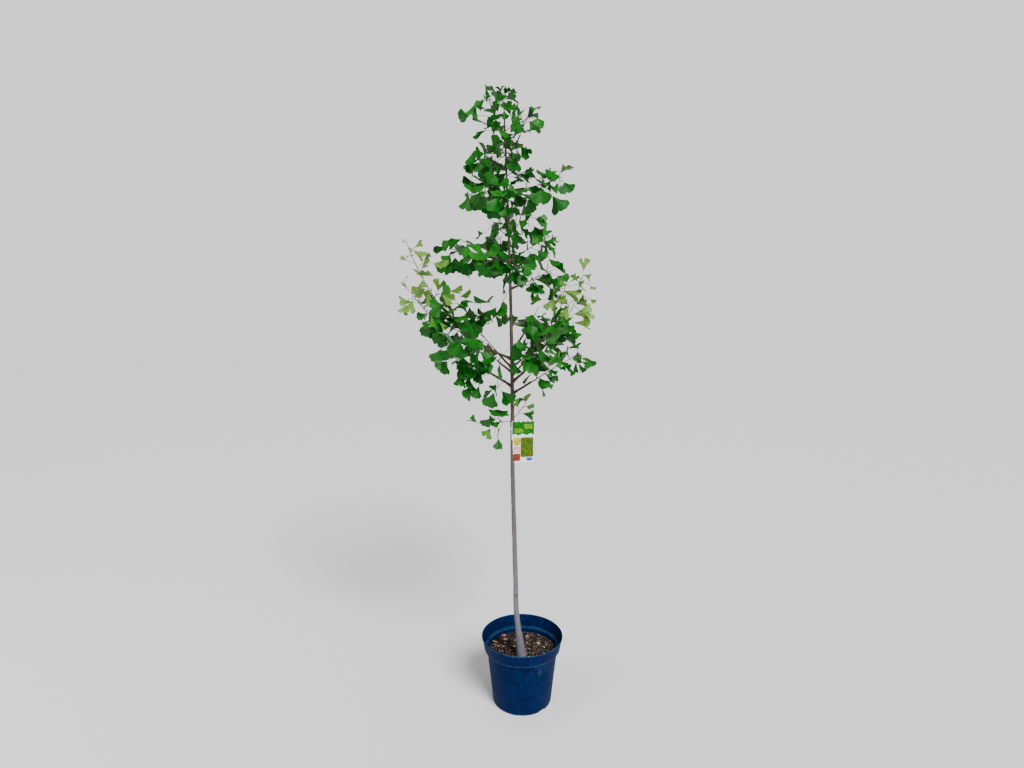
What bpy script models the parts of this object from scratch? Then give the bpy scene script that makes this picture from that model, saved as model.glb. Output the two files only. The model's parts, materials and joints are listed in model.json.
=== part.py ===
"""Young ginkgo tree in a round nursery pot, as closed solids in metres, +Z up.

The origin is the centre of the pot's flat underside. The front of the tree faces -Y.
Bearings are in degrees round the trunk: 0 is +X, 90 is +Y.
"""

import math
import random
from typing import NamedTuple

import bmesh
import bpy
from mathutils import Matrix, Vector
from mathutils.bvhtree import BVHTree

UP = Vector((0.0, 0.0, 1.0))
GOLDEN_ANGLE = math.radians(137.5)

# Clearance between touching pieces
GAP = 0.0003

# Pot: a tapered blow-moulded tub with a wide collar
POT_HEIGHT = 0.233
POT_BASE_RADIUS = 0.102
POT_BASE_ROUND = 0.006
POT_NECK_RADIUS = 0.1215
COLLAR_HEIGHT = 0.043
COLLAR_FOOT_RADIUS = 0.1315
RIM_RADIUS = 0.140
RIM_LIP = 0.0022
RIM_LIP_HEIGHT = 0.005
POT_WALL = 0.0022
POT_FLOOR = 0.003
POT_FLOOR_ROUND = 0.004
POT_LEDGE = 0.002
POT_SIDES = 32
DRAIN_COUNT = 3
DRAIN_FIRST_BEARING = -49.0
DRAIN_WIDTH = 0.030
DRAIN_HEIGHT = 0.010
DRAIN_DEPTH = 0.012
DRAIN_SIDES = 12

# Potting mix, which fills the pot to just below its collar
SOIL_LEVEL = 0.180
SOIL_EDGE_DROP = 0.004
SOIL_RIPPLE = 0.0015
SOIL_RINGS = (0.25, 0.5, 0.75, 0.93)
SOIL_LEVEL_SHARE = 0.5
SOIL_WALL_GAP = 1.6 * GAP
SOIL_SEED = 5

# Trunk: points on its centre line, as height, x and y
TRUNK_BENDS = (
    (SOIL_LEVEL + GAP, -0.0027, -0.0400),
    (0.34, -0.0205, -0.0385),
    (0.43, -0.0225, -0.0370),
    (0.84, -0.0334, -0.0290),
    (1.10, -0.0345, -0.0230),
    (1.52, -0.0432, -0.0140),
    (1.97, -0.0600, -0.0060),
)
TRUNK_TOP = TRUNK_BENDS[-1][0]
TRUNK_BASE_RADIUS = 0.0093
TRUNK_TOP_RADIUS = 0.0022
TAPER_POWER = 0.85
FLARE_RADIUS = 0.0085
FLARE_HEIGHT = 0.11
FLARE_POWER = 1.3
TRUNK_FOOT_DEPTH = 0.004
TRUNK_SIDES = 10
TRUNK_RINGS = 22
RING_POWER = 1.5

# Limbs
CURVE_HANDLE = 0.48
BOUGH_SIDES = 6
BOUGH_RUNS = 3
TWIG_SIDES = 3
TIP_TAPER = 0.35
TWIG_RADIUS = 0.0022
TWIG_TIP_RADIUS = 0.0015
FORK_SHARE = 0.6
LONG_STEM = 0.3
LONG_STEM_RUNS = 6
SHORT_STEM_RUNS = 3
STEM_LEAD = 0.004

# Twigs: their direction as shares of forward, sideways and up, and their leaves' places
TURN_SCATTER = 0.25
TWIG_AIM = (0.55, 0.85, 0.25)
TWIG_LENGTHS = (0.75, 1.15)
TWIG_BEND = 0.12
TWIG_END = (0.86, 0.96)
TWIGS_FROM = 0.10
FORK_LEAVES_FROM = 0.12
STEM_LEAVES_FROM = 0.3
FIRST_NODE = 0.6
LAST_NODE = 0.985
YOUNG_LIFT = 0.6

# Leaves: petiole and blade, and how each is turned
PETIOLE_RADIUS = 0.0005
PETIOLE_KEEL = 1.6
PETIOLE_SHARE = (0.25, 0.50)
PETIOLE_LEAST = 0.006
PETIOLE_AIM = (0.45, 0.9, 0.30)
PETIOLE_SAG = 0.35
LEAF_SIZES = (0.84, 1.16)
AXIS_SCATTER = 0.22
FACING_UP = 0.55
LEAST_BEND = 0.35
LEAF_TRIES = 14
ROOT_SHARE = 0.35

# Blade outlines from foot to notch, as shares of the width: across, along and lift
LOBED_WIDTH = 0.045
SMALL_BLADE = ((0.46, 0.62, 0.05),)
SMALL_NOTCH = (0.0, 0.58, 0.0)
LOBED_BLADE = ((0.50, 0.47, 0.07), (0.29, 0.76, 0.02))
LOBED_NOTCH = (0.0, 0.62, -0.01)
BLADE_MIDDLE = 0.34
BLADE_RISE = 0.012
BLADE_SPOTS = ((0.0, 0.35), (0.5, 0.45), (-0.5, 0.45), (0.0, 0.75))

# Looks: linear colour and roughness
POT_LOOK = ((0.003, 0.021, 0.105), 0.42)
SOIL_LOOK = ((0.03, 0.02, 0.015), 0.95)
TRUNK_LOOK = ((0.24, 0.20, 0.18), 0.75)
BOUGH_LOOK = ((0.12, 0.075, 0.045), 0.8)
FOLIAGE_LOOK = ((0.02, 0.16, 0.02), 0.55)
LABEL_LOOK = ((0.75, 0.78, 0.72), 0.45)

# Joined meshes: faces within this angle are one, and corners this close are one
FLAT_ANGLE = math.radians(1.5)
WELD = 1e-6

# Hang label: one plastic sheet, a scalloped header over a narrower card, on a strap round the trunk
LABEL_TOP = 0.982
LABEL_LEFT = -0.038
LABEL_HEADER = (0.078, 0.058)
LABEL_CARD = (0.070, 0.076)
LABEL_SCALLOPS = 5
LABEL_SCALLOP_DEPTH = 0.006
LABEL_THICKNESS = 0.0010
LABEL_TURN = 12.0
STRAP_LEVEL = 0.962
STRAP_WIDTH = 0.006
STRAP_THICKNESS = 0.0014
STRAP_SIDES = 16


class Shoot(NamedTuple):
    """A limb that leaves the trunk and the mass of foliage that it carries.

    reach and rise say how far its tip lies from the trunk, out and up, and climb is
    the angle at which it leaves. Its first part, bare, is a bough of its own. The rest
    is the mass's stem, with twigs on its bushy part and single leaves up to its tip.
    """

    name: str
    height: float
    bearing: float
    reach: float
    rise: float
    climb: float
    radius: float
    bare: float
    bushy: float
    twigs: int
    twig_length: float
    on_stem: int
    leaf: float
    young: float
    droop: float
    seed: int
    forks: tuple = ()


class Fork(NamedTuple):
    """A second stem inside a mass, which leaves the first one at a share of its length."""

    at: float
    bearing: float
    reach: float
    rise: float
    climb: float
    on_stem: int


SHOOTS = (
    Shoot("left_long", 1.190, 172, 0.352, 0.390, 18, 0.0046, 0.34, 0.42, 6, 0.040, 12, 0.066,
          0.028, 0.45, 11,
          (Fork(0.14, 183, 0.190, 0.150, 12, 9),)),
    Shoot("left_low", 1.100, 198, 0.215, 0.105, 35, 0.0042, 0.36, 1.0, 5, 0.036, 3, 0.068, 0.054, 0.65, 12),
    Shoot("left_inner", 1.322, 190, 0.105, 0.020, 12, 0.0024, 0.0, 1.0, 2, 0.028, 2, 0.068, 0.058,
          0.55, 13),
    Shoot("right_long", 1.115, 12, 0.180, 0.330, 35, 0.0046, 0.36, 0.50, 6, 0.038, 8, 0.060, 0.028,
          0.40, 14,
          (Fork(0.20, -4, 0.122, 0.215, 40, 9),)),
    Shoot("right_low", 1.076, -14, 0.225, 0.140, 33, 0.0040, 0.30, 1.0, 4, 0.026, 5, 0.044, 0.034,
          0.60, 15),
    Shoot("right_inner", 1.167, 38, 0.100, 0.105, 15, 0.0034, 0.30, 1.0, 3, 0.030, 3, 0.062, 0.048,
          0.50, 16),
    Shoot("right_thin", 1.318, -22, 0.095, -0.012, -4, 0.0020, 0.0, 1.0, 0, 0.025, 3, 0.042, 0.038,
          0.50, 17),
    Shoot("right_middle", 1.415, -10, 0.138, 0.060, 22, 0.0030, 0.26, 1.0, 3, 0.030, 3, 0.060,
          0.045, 0.55, 18),
    Shoot("right_rising", 1.502, 14, 0.130, 0.082, 35, 0.0028, 0.40, 1.0, 2, 0.026, 3, 0.050,
          0.036, 0.35, 19),
    Shoot("left_middle", 1.497, 176, 0.185, 0.045, 20, 0.0032, 0.36, 1.0, 4, 0.032, 4, 0.066,
          0.052, 0.60, 20),
    Shoot("left_near", 1.477, 222, 0.105, 0.028, 15, 0.0024, 0.0, 1.0, 2, 0.028, 2, 0.066, 0.056, 0.55, 21),
    Shoot("left_rising", 1.585, 150, 0.070, 0.040, 25, 0.0022, 0.0, 1.0, 1, 0.026, 3, 0.060, 0.050,
          0.45, 22),
    Shoot("right_short", 1.598, -32, 0.062, 0.030, 25, 0.0022, 0.0, 1.0, 2, 0.026, 2, 0.054, 0.045,
          0.45, 23),
    Shoot("right_high", 1.725, 4, 0.172, 0.042, 3, 0.0028, 0.32, 1.0, 3, 0.026, 5, 0.056, 0.036, 0.50, 24),
    Shoot("right_hanging", 1.708, -38, 0.070, -0.022, -8, 0.0020, 0.0, 1.0, 0, 0.025, 3, 0.056,
          0.050, 0.65, 25),
    Shoot("left_high", 1.697, 188, 0.120, 0.022, 18, 0.0028, 0.28, 1.0, 3, 0.032, 4, 0.062, 0.048,
          0.55, 26),
    Shoot("left_upper", 1.785, 168, 0.066, 0.050, 35, 0.0022, 0.0, 1.0, 2, 0.030, 3, 0.062, 0.052,
          0.45, 27),
    Shoot("right_upper", 1.767, 50, 0.050, 0.035, 30, 0.0020, 0.0, 1.0, 1, 0.026, 3, 0.048, 0.042,
          0.40, 28),
    Shoot("right_crown", 1.850, -22, 0.045, 0.018, 25, 0.0020, 0.0, 1.0, 1, 0.024, 3, 0.062, 0.054,
          0.45, 29),
    Shoot("left_tip", 1.885, 190, 0.046, 0.105, 55, 0.0020, 0.0, 1.0, 2, 0.022, 6, 0.050, 0.040, 0.15, 30),
    Shoot("right_tip", 1.905, 10, 0.072, 0.040, 35, 0.0020, 0.0, 1.0, 2, 0.022, 5, 0.048, 0.040, 0.20, 31),
    Shoot("left_spur", 0.984, 186, 0.070, -0.004, 5, 0.0020, 0.0, 1.0, 1, 0.026, 3, 0.056, 0.036, 0.55, 32),
    Shoot("right_spur", 0.992, 20, 0.046, 0.050, 40, 0.0018, 0.0, 1.0, 0, 0.022, 4, 0.034, 0.028, 0.30, 33),
    Shoot("front_low", 1.147, 236, 0.190, 0.110, 25, 0.0038, 0.40, 1.0, 3, 0.034, 3, 0.064, 0.048,
          0.55, 34),
    Shoot("front_right", 1.135, 300, 0.165, 0.130, 30, 0.0036, 0.40, 1.0, 3, 0.032, 3, 0.062,
          0.048, 0.50, 35),
    Shoot("back_right", 1.212, 64, 0.220, 0.150, 30, 0.0040, 0.42, 1.0, 3, 0.034, 4, 0.062, 0.042,
          0.45, 36),
    Shoot("back_left", 1.160, 128, 0.215, 0.140, 30, 0.0038, 0.42, 1.0, 3, 0.034, 4, 0.064, 0.046,
          0.50, 37),
    Shoot("front_middle", 1.475, 282, 0.105, 0.005, 15, 0.0028, 0.30, 1.0, 2, 0.028, 2, 0.062,
          0.052, 0.60, 38),
    Shoot("back_middle", 1.430, 82, 0.150, 0.055, 25, 0.0028, 0.35, 1.0, 3, 0.030, 3, 0.060, 0.046,
          0.50, 39),
    Shoot("back_left_middle", 1.540, 118, 0.145, 0.040, 25, 0.0028, 0.35, 1.0, 2, 0.030, 3, 0.058,
          0.046, 0.50, 40),
    Shoot("front_upper", 1.660, 262, 0.080, 0.010, 15, 0.0022, 0.0, 1.0, 1, 0.026, 2, 0.056, 0.048,
          0.50, 41),
    Shoot("back_upper", 1.680, 92, 0.115, 0.045, 28, 0.0022, 0.0, 1.0, 2, 0.028, 3, 0.056, 0.045, 0.45, 42),
    Shoot("back_tip", 1.825, 100, 0.070, 0.045, 30, 0.0020, 0.0, 1.0, 2, 0.026, 3, 0.054, 0.044, 0.40, 43),
    Shoot("front_tip", 1.875, 268, 0.055, 0.030, 35, 0.0020, 0.0, 1.0, 1, 0.024, 3, 0.050, 0.042, 0.40, 45),
)
LEADER = Shoot("leader", TRUNK_TOP, 200, 0.010, 0.045, 80, TRUNK_TOP_RADIUS, 0.0, 1.0, 0, 0.0, 8,
               0.042, 0.032, 0.1, 44)

# Sky windows that stay open between the masses, seen from the front at eye height:
# their left, right, bottom and top in the trunk's plane
EYE = Vector((-0.035, -1.90, 1.315))
SKY_WINDOWS = (
    (-0.112, -0.058, 1.215, 1.300),
    (-0.230, -0.062, 1.385, 1.450),
    (-0.020, 0.090, 1.330, 1.400),
    (0.030, 0.125, 1.600, 1.665),
    (-0.230, -0.118, 1.575, 1.650),
    (0.005, 0.150, 1.805, 1.900),
    (-0.230, -0.145, 1.760, 1.925),
    (0.105, 0.260, 1.520, 1.700),
    (-0.240, -0.090, 1.060, 1.115),
)


class Leaf(NamedTuple):
    """A leaf by its petiole's root and direction, and its blade's place and frame."""

    root: Vector
    base: Vector
    axis: Vector
    normal: Vector
    width: float


def blend(low, high, share):
    """Value between low and high."""
    return low + (high - low) * share


def heading(bearing, climb):
    """Unit vector at a bearing and a climb in degrees."""
    turn = math.radians(bearing)
    lift = math.radians(climb)
    return Vector((math.cos(turn) * math.cos(lift), math.sin(turn) * math.cos(lift), math.sin(lift)))


def random_unit(rng):
    """Random direction."""
    turn = rng.uniform(0.0, math.tau)
    height = rng.uniform(-1.0, 1.0)
    flat = math.sqrt(1.0 - height * height)
    return Vector((flat * math.cos(turn), flat * math.sin(turn), height))


# Trunk line and radius

def trunk_at(height):
    """Point on the trunk's centre line, on a smooth curve through its bends."""
    bends = [Vector((x, y, z)) for z, x, y in TRUNK_BENDS]
    last = len(bends) - 1
    low = 0
    while low < last - 1 and bends[low + 1].z < height:
        low += 1
    start, end = bends[low], bends[low + 1]
    before = bends[max(low - 1, 0)]
    after = bends[min(low + 2, last)]
    span = end.z - start.z
    leave = (end - before) * (span / (end.z - before.z))
    arrive = (after - start) * (span / (after.z - start.z))
    share = (height - start.z) / span
    square, cube = share ** 2, share ** 3
    point = (
        start * (2 * cube - 3 * square + 1)
        + leave * (cube - 2 * square + share)
        + end * (3 * square - 2 * cube)
        + arrive * (cube - square)
    )
    point.z = height
    return point


def trunk_radius(height):
    """Trunk radius, with its taper and the flare at its foot."""
    foot = TRUNK_BENDS[0][0]
    share = min(1.0, (height - foot) / (TRUNK_TOP - foot))
    taper = blend(TRUNK_TOP_RADIUS, TRUNK_BASE_RADIUS, (1.0 - share) ** TAPER_POWER)
    flare = FLARE_RADIUS * max(0.0, 1.0 - (height - foot) / FLARE_HEIGHT) ** FLARE_POWER
    return taper + flare


def trunk_heights():
    """Heights of the trunk's rings, closer together over the flare."""
    foot = TRUNK_BENDS[0][0]
    shares = [(step / TRUNK_RINGS) ** RING_POWER for step in range(TRUNK_RINGS + 1)]
    return [foot + (TRUNK_TOP - foot) * share for share in shares]


# Meshes of limbs and leaves

def in_window(place):
    """True where a place is seen in one of the sky windows."""
    share = EYE.y / (EYE.y - place.y)
    seen = EYE + (place - EYE) * share
    return any(left < seen.x < right and low < seen.z < high for left, right, low, high in SKY_WINDOWS)


def leaf_reach(leaf):
    """Middle and outer corners of a leaf's blade."""
    across = leaf.axis.cross(leaf.normal)
    return [leaf.base + (across * x + leaf.axis * y) * leaf.width for x, y in BLADE_SPOTS]


def ring_frames(points):
    """One frame for each point of a line, its Z along the line, with no twist between them."""
    frames = []
    tangent = (points[1] - points[0]).normalized()
    side = tangent.orthogonal().normalized()
    for index, point in enumerate(points):
        ahead = points[min(index + 1, len(points) - 1)]
        behind = points[max(index - 1, 0)]
        turned = (ahead - behind).normalized()
        side = tangent.rotation_difference(turned) @ side
        tangent = turned
        side = (side - tangent * side.dot(tangent)).normalized()
        frame = Matrix((side, tangent.cross(side), tangent)).transposed().to_4x4()
        frames.append(Matrix.Translation(point) @ frame)
    return frames


def bridge_rings(mesh, rings):
    """Close a stack of rings with walls and two end caps."""
    sides = len(rings[0])
    for low, high in zip(rings, rings[1:]):
        for index in range(sides):
            after = (index + 1) % sides
            mesh.faces.new((low[index], low[after], high[after], high[index]))
    mesh.faces.new(list(reversed(rings[0])))
    mesh.faces.new(rings[-1])


def add_limb(mesh, points, radii, sides):
    """Closed tapering limb along a line of points."""
    rings = []
    for frame, radius in zip(ring_frames(points), radii):
        circle = bmesh.ops.create_circle(mesh, segments=sides, radius=radius, matrix=frame)
        rings.append(circle["verts"])
    bridge_rings(mesh, rings)


def leaf_outline(width):
    """Half outline of a blade from its foot, and its notch."""
    if width < LOBED_WIDTH:
        return SMALL_BLADE, SMALL_NOTCH
    return LOBED_BLADE, LOBED_NOTCH


def add_leaf(mesh, leaf, root_share=0.0):
    """Closed leaf: a three-sided petiole and a thin two-lobed fan with a notch.

    A root_share above 0 leaves out that much of the petiole.
    """
    across = leaf.axis.cross(leaf.normal).normalized()
    root = leaf.root.lerp(leaf.base, root_share)

    def place(x, y, z):
        return leaf.base + across * x + leaf.axis * y + leaf.normal * z

    keel = -PETIOLE_KEEL * PETIOLE_RADIUS
    stalk = [(PETIOLE_RADIUS, 0.0, 0.0), (-PETIOLE_RADIUS, 0.0, 0.0), (0.0, 0.0, keel)]
    foot = [mesh.verts.new(place(*corner) - leaf.base + root) for corner in stalk]
    neck = [mesh.verts.new(place(*corner)) for corner in stalk]
    half, notch = leaf_outline(leaf.width)
    size = leaf.width
    right = [mesh.verts.new(place(x * size, y * size, z * size)) for x, y, z in half]
    left = [mesh.verts.new(place(-x * size, y * size, z * size)) for x, y, z in half]
    middle = mesh.verts.new(place(*(value * size for value in notch)))
    crown = mesh.verts.new(place(0.0, BLADE_MIDDLE * size, BLADE_RISE * size))
    edge = [neck[0], *right, middle, *reversed(left), neck[1]]
    for first, second in zip(edge, edge[1:]):
        mesh.faces.new((first, second, crown))
        mesh.faces.new((second, first, neck[2]))
    mesh.faces.new((neck[1], neck[0], crown))
    for index in range(3):
        after = (index + 1) % 3
        mesh.faces.new((neck[index], neck[after], foot[after], foot[index]))
    mesh.faces.new(foot)


def closed_object(name, build):
    """Mesh object from a function that fills a bmesh with one closed shape."""
    mesh = bmesh.new()
    build(mesh)
    bmesh.ops.triangulate(mesh, faces=mesh.faces[:])
    bmesh.ops.recalc_face_normals(mesh, faces=mesh.faces[:])
    data = bpy.data.meshes.new(name)
    mesh.to_mesh(data)
    mesh.free()
    piece = bpy.data.objects.new(name, data)
    bpy.context.scene.collection.objects.link(piece)
    return piece


def remove_object(piece):
    """Take an object and its mesh away."""
    data = piece.data
    bpy.data.objects.remove(piece)
    bpy.data.meshes.remove(data)


def apply_boolean(piece, operation, solver="EXACT", cutter=None, collection=None):
    """Apply one Boolean to an object, with another object or a collection of them."""
    modifier = piece.modifiers.new("join", "BOOLEAN")
    modifier.operation = operation
    modifier.solver = solver
    if collection is None:
        modifier.object = cutter
    else:
        modifier.operand_type = "COLLECTION"
        modifier.collection = collection
    bpy.context.view_layer.update()
    depsgraph = bpy.context.evaluated_depsgraph_get()
    data = bpy.data.meshes.new_from_object(piece.evaluated_get(depsgraph))
    piece.modifiers.clear()
    before = piece.data
    piece.data = data
    bpy.data.meshes.remove(before)


def set_material(piece, look):
    """Give a piece its own Principled material, named like the piece."""
    colour, roughness = look
    material = bpy.data.materials.new(piece.name)
    material.use_nodes = True
    shader = material.node_tree.nodes["Principled BSDF"]
    shader.inputs["Base Color"].default_value = (*colour, 1.0)
    shader.inputs["Roughness"].default_value = roughness
    shader.inputs["Metallic"].default_value = 0.0
    material.diffuse_color = (*colour, 1.0)
    piece.data.materials.clear()
    piece.data.materials.append(material)


# Growth of the crown, by the same rule for each mass

def shoot_curve(start, reach, rise, bearing, climb):
    """Function that gives the point at a share of a shoot's length, on a quadratic curve."""
    flat = heading(bearing, 0.0)
    end = start + flat * reach + UP * rise
    control = start + heading(bearing, climb) * (end - start).length * CURVE_HANDLE

    def point(share):
        return start.lerp(control, share).lerp(control.lerp(end, share), share)

    return point


def limb_points(curve, start, end, rings):
    """Even points along a stretch of a curve."""
    return [curve(blend(start, end, step / rings)) for step in range(rings + 1)]


def along(points, share):
    """Place and direction at a share of a limb, on the straight runs between its points."""
    runs = len(points) - 1
    run = min(int(share * runs), runs - 1)
    way = points[run + 1] - points[run]
    return points[run] + way * (share * runs - run), way.normalized()


class Crown:
    """Collects the limbs and leaves and keeps each clear of the others."""

    def __init__(self):
        self.solids = []

    def shape(self, points, radii, sides=TWIG_SIDES):
        """Search tree of a limb."""
        return self.search_tree(lambda mesh: add_limb(mesh, points, radii, sides))

    @staticmethod
    def search_tree(build):
        """Search tree of a shape, with its middle and its outer radius."""
        mesh = bmesh.new()
        build(mesh)
        bmesh.ops.triangulate(mesh, faces=mesh.faces[:])
        places = [vertex.co.copy() for vertex in mesh.verts]
        middle = sum(places, Vector()) / len(places)
        radius = max((place - middle).length for place in places)
        tree = BVHTree.FromBMesh(mesh)
        mesh.free()
        return tree, middle, radius

    def clear(self, whole, outer, owner):
        """True where a shape touches nothing that already stands.

        Against its own mass only its outer part counts, since its root is fused there.
        """
        for standing, other in self.solids:
            tree, middle, radius = outer if owner == standing else whole
            placed, centre, size = other
            if (centre - middle).length < radius + size and tree.overlap(placed):
                return False
        return True

    def keep(self, shape, owner):
        """Remember a shape and whose it is."""
        self.solids.append((owner, shape))


class Mass:
    """One mass of foliage: its stem, forks, twigs and leaves, grown by a seeded rule."""

    def __init__(self, shoot, crown):
        self.shoot = shoot
        self.crown = crown
        self.rng = random.Random(shoot.seed)
        self.twist = self.rng.uniform(0.0, math.tau)
        self.limbs = []
        self.leaves = []
        self.stem = []
        self.fork_stems = []

    def add_stem(self, points, radius):
        """Tapering stem along a line of points."""
        runs = len(points) - 1
        tapers = [blend(1.0, TIP_TAPER, step / runs) for step in range(runs + 1)]
        radii = [max(TWIG_TIP_RADIUS, radius * taper) for taper in tapers]
        self.limbs.append((points, radii))
        self.crown.keep(self.crown.shape(points, radii), self.shoot.name)

    def sideways(self, forward):
        """Next direction round a twig, a golden angle on from the last."""
        self.twist += GOLDEN_ANGLE + self.rng.uniform(-TURN_SCATTER, TURN_SCATTER)
        side = forward.orthogonal().normalized()
        return Matrix.Rotation(self.twist, 3, forward) @ side

    def add_leaf(self, node, forward, width, droop):
        """Try a leaf at a node of a twig in a few directions, and keep the first that is clear."""
        rng = self.rng
        ahead, aside, above = PETIOLE_AIM
        for _ in range(LEAF_TRIES):
            side = self.sideways(forward)
            size = width * rng.uniform(*LEAF_SIZES)
            stalk = (forward * ahead + side * aside + UP * (above - PETIOLE_SAG * droop)).normalized()
            length = size * rng.uniform(*PETIOLE_SHARE) + PETIOLE_LEAST
            base = node + stalk * length
            axis = (stalk * (1.0 - droop) - UP * droop + random_unit(rng) * AXIS_SCATTER).normalized()
            axis = (axis + stalk * max(0.0, LEAST_BEND - axis.dot(stalk))).normalized()
            facing = UP * FACING_UP + random_unit(rng) + stalk * droop
            normal = (facing - axis * facing.dot(axis)).normalized()
            leaf = Leaf(node, base, axis, normal, size)
            if any(in_window(place) for place in leaf_reach(leaf)):
                continue
            whole = self.crown.search_tree(lambda mesh: add_leaf(mesh, leaf))
            outer = self.crown.search_tree(lambda mesh: add_leaf(mesh, leaf, ROOT_SHARE))
            if self.crown.clear(whole, outer, self.shoot.name):
                self.leaves.append(leaf)
                self.crown.keep(whole, self.shoot.name)
                return

    def add_twig(self, node, forward, length, leaf_width):
        """Side twig with a leaf on its way and two or three at its end."""
        rng = self.rng
        ahead, aside, above = TWIG_AIM
        for _ in range(LEAF_TRIES):
            side = self.sideways(forward)
            way = (forward * ahead + side * aside + UP * above).normalized()
            reach = length * rng.uniform(*TWIG_LENGTHS)
            points = [node, node + way * reach * 0.5, node + (way + UP * TWIG_BEND).normalized() * reach]
            if in_window(points[2]):
                continue
            radii = [TWIG_RADIUS, blend(TWIG_RADIUS, TWIG_TIP_RADIUS, 0.5), TWIG_TIP_RADIUS]
            whole = self.crown.shape(points, radii)
            root = points[0].lerp(points[1], ROOT_SHARE)
            outer = self.crown.shape([root, points[1], points[2]], radii)
            if self.crown.clear(whole, outer, self.shoot.name):
                break
        else:
            return
        self.limbs.append((points, radii))
        self.crown.keep(whole, self.shoot.name)
        onward = (points[2] - points[1]).normalized()
        self.add_leaf(points[1], onward, leaf_width, self.shoot.droop)
        for _ in range(2):
            place = points[1].lerp(points[2], rng.uniform(*TWIG_END))
            self.add_leaf(place, onward, leaf_width, self.shoot.droop)

    def clothe(self, stem, start, on_stem):
        """Leaves along a stem to its tip, smaller and more upright on the way."""
        shoot = self.shoot
        for index in range(on_stem):
            share = min((index + FIRST_NODE) / on_stem, LAST_NODE)
            node, forward = along(stem, blend(start, 1.0, share))
            width = blend(shoot.leaf, shoot.young, share)
            self.add_leaf(node, forward, width, shoot.droop * (1.0 - YOUNG_LIFT * share))

    def add_stems(self, stem, radius):
        """Main stem and its forks, before any mass has its twigs and leaves."""
        self.stem = stem
        self.add_stem(stem, radius)
        self.fork_stems = []
        for fork in self.shoot.forks:
            root, _ = along(stem, fork.at)
            branch = shoot_curve(root, fork.reach, fork.rise, fork.bearing, fork.climb)
            points = limb_points(branch, 0.0, 1.0, SHORT_STEM_RUNS)
            self.add_stem(points, radius * FORK_SHARE)
            self.fork_stems.append((points, fork.on_stem))

    def grow(self):
        """Twigs and leaves on the stems."""
        shoot = self.shoot
        for points, on_stem in self.fork_stems:
            self.clothe(points, FORK_LEAVES_FROM, on_stem)
        for index in range(shoot.twigs):
            share = (index + 0.5) / shoot.twigs
            node, forward = along(self.stem, blend(TWIGS_FROM, shoot.bushy, share))
            self.add_twig(node, forward, shoot.twig_length, shoot.leaf)
        self.clothe(self.stem, STEM_LEAVES_FROM * shoot.bushy, shoot.on_stem)

    def join(self, cutter):
        """Join the mass into one solid, cut clear of the trunk by the cutter."""
        name = "foliage_" + self.shoot.name
        points, radii = self.limbs[0]
        mass = closed_object(name, lambda mesh: add_limb(mesh, points, radii, TWIG_SIDES))
        if cutter is not None:
            apply_boolean(mass, "DIFFERENCE", cutter=cutter)
        parts = bpy.data.collections.new("parts")
        bpy.context.scene.collection.children.link(parts)
        pieces = []
        for points, radii in self.limbs[1:]:
            pieces.append(closed_object("twig", lambda mesh: add_limb(mesh, points, radii, TWIG_SIDES)))
        for leaf in self.leaves:
            pieces.append(closed_object("leaf", lambda mesh: add_leaf(mesh, leaf)))
        for piece in pieces:
            bpy.context.scene.collection.objects.unlink(piece)
            parts.objects.link(piece)
        apply_boolean(mass, "UNION", solver="MANIFOLD", collection=parts)
        for piece in pieces:
            remove_object(piece)
        bpy.data.collections.remove(parts)
        return mass

    def build(self, cutter):
        """Closed solid of the mass, with a leaf fewer for each time that it doesn't close."""
        mass = self.join(cutter)
        while not finish_joined(mass):
            remove_object(mass)
            self.leaves.pop()
            mass = self.join(cutter)
        set_material(mass, FOLIAGE_LOOK)
        return mass


def largest_body(mesh):
    """Delete all but the largest connected body of a bmesh."""
    left = set(mesh.verts)
    bodies = []
    while left:
        body = set()
        edge = [next(iter(left))]
        while edge:
            vertex = edge.pop()
            if vertex not in body:
                body.add(vertex)
                edge.extend(link.other_vert(vertex) for link in vertex.link_edges)
        bodies.append(body)
        left -= body
    bodies.sort(key=len)
    loose = [vertex for body in bodies[:-1] for vertex in body]
    bmesh.ops.delete(mesh, geom=loose, context="VERTS")


def finish_joined(piece):
    """Keep a joined mesh's largest body, and merge its flat faces where it stays closed.

    Returns True where the result is closed.
    """
    for weld, flat_angle in ((WELD, FLAT_ANGLE), (0.0, FLAT_ANGLE), (WELD, 0.0), (0.0, 0.0)):
        mesh = bmesh.new()
        mesh.from_mesh(piece.data)
        if weld:
            bmesh.ops.remove_doubles(mesh, verts=mesh.verts[:], dist=weld)
        largest_body(mesh)
        if flat_angle:
            bmesh.ops.dissolve_limit(mesh, angle_limit=flat_angle, verts=mesh.verts[:],
                                     edges=mesh.edges[:])
        bmesh.ops.triangulate(mesh, faces=mesh.faces[:])
        closed = all(edge.is_manifold and edge.is_contiguous for edge in mesh.edges)
        closed = closed and all(vertex.is_manifold for vertex in mesh.verts)
        if closed:
            mesh.to_mesh(piece.data)
        mesh.free()
        if closed:
            return True
    return False


def build_bough(shoot, points, cutter, crown):
    """Bough from the trunk to where its mass begins."""
    shares = [shoot.bare * step / BOUGH_RUNS for step in range(BOUGH_RUNS + 1)]
    radii = [shoot.radius * blend(1.0, TIP_TAPER, share) for share in shares]
    name = "bough_" + shoot.name
    bough = closed_object(name, lambda mesh: add_limb(mesh, points, radii, BOUGH_SIDES))
    apply_boolean(bough, "DIFFERENCE", cutter=cutter)
    finish_joined(bough)
    bough.data.shade_smooth()
    set_material(bough, BOUGH_LOOK)
    crown.keep(crown.shape(points, radii, BOUGH_SIDES), name)


def stem_beyond(bough, curve, start, runs):
    """Points of a stem that meets a bough's tip squarely, a clearance away."""
    way = (bough[-1] - bough[-2]).normalized()
    first = bough[-1] + way * GAP
    return [first, first + way * STEM_LEAD, *limb_points(curve, start, 1.0, runs)[1:]]


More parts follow.
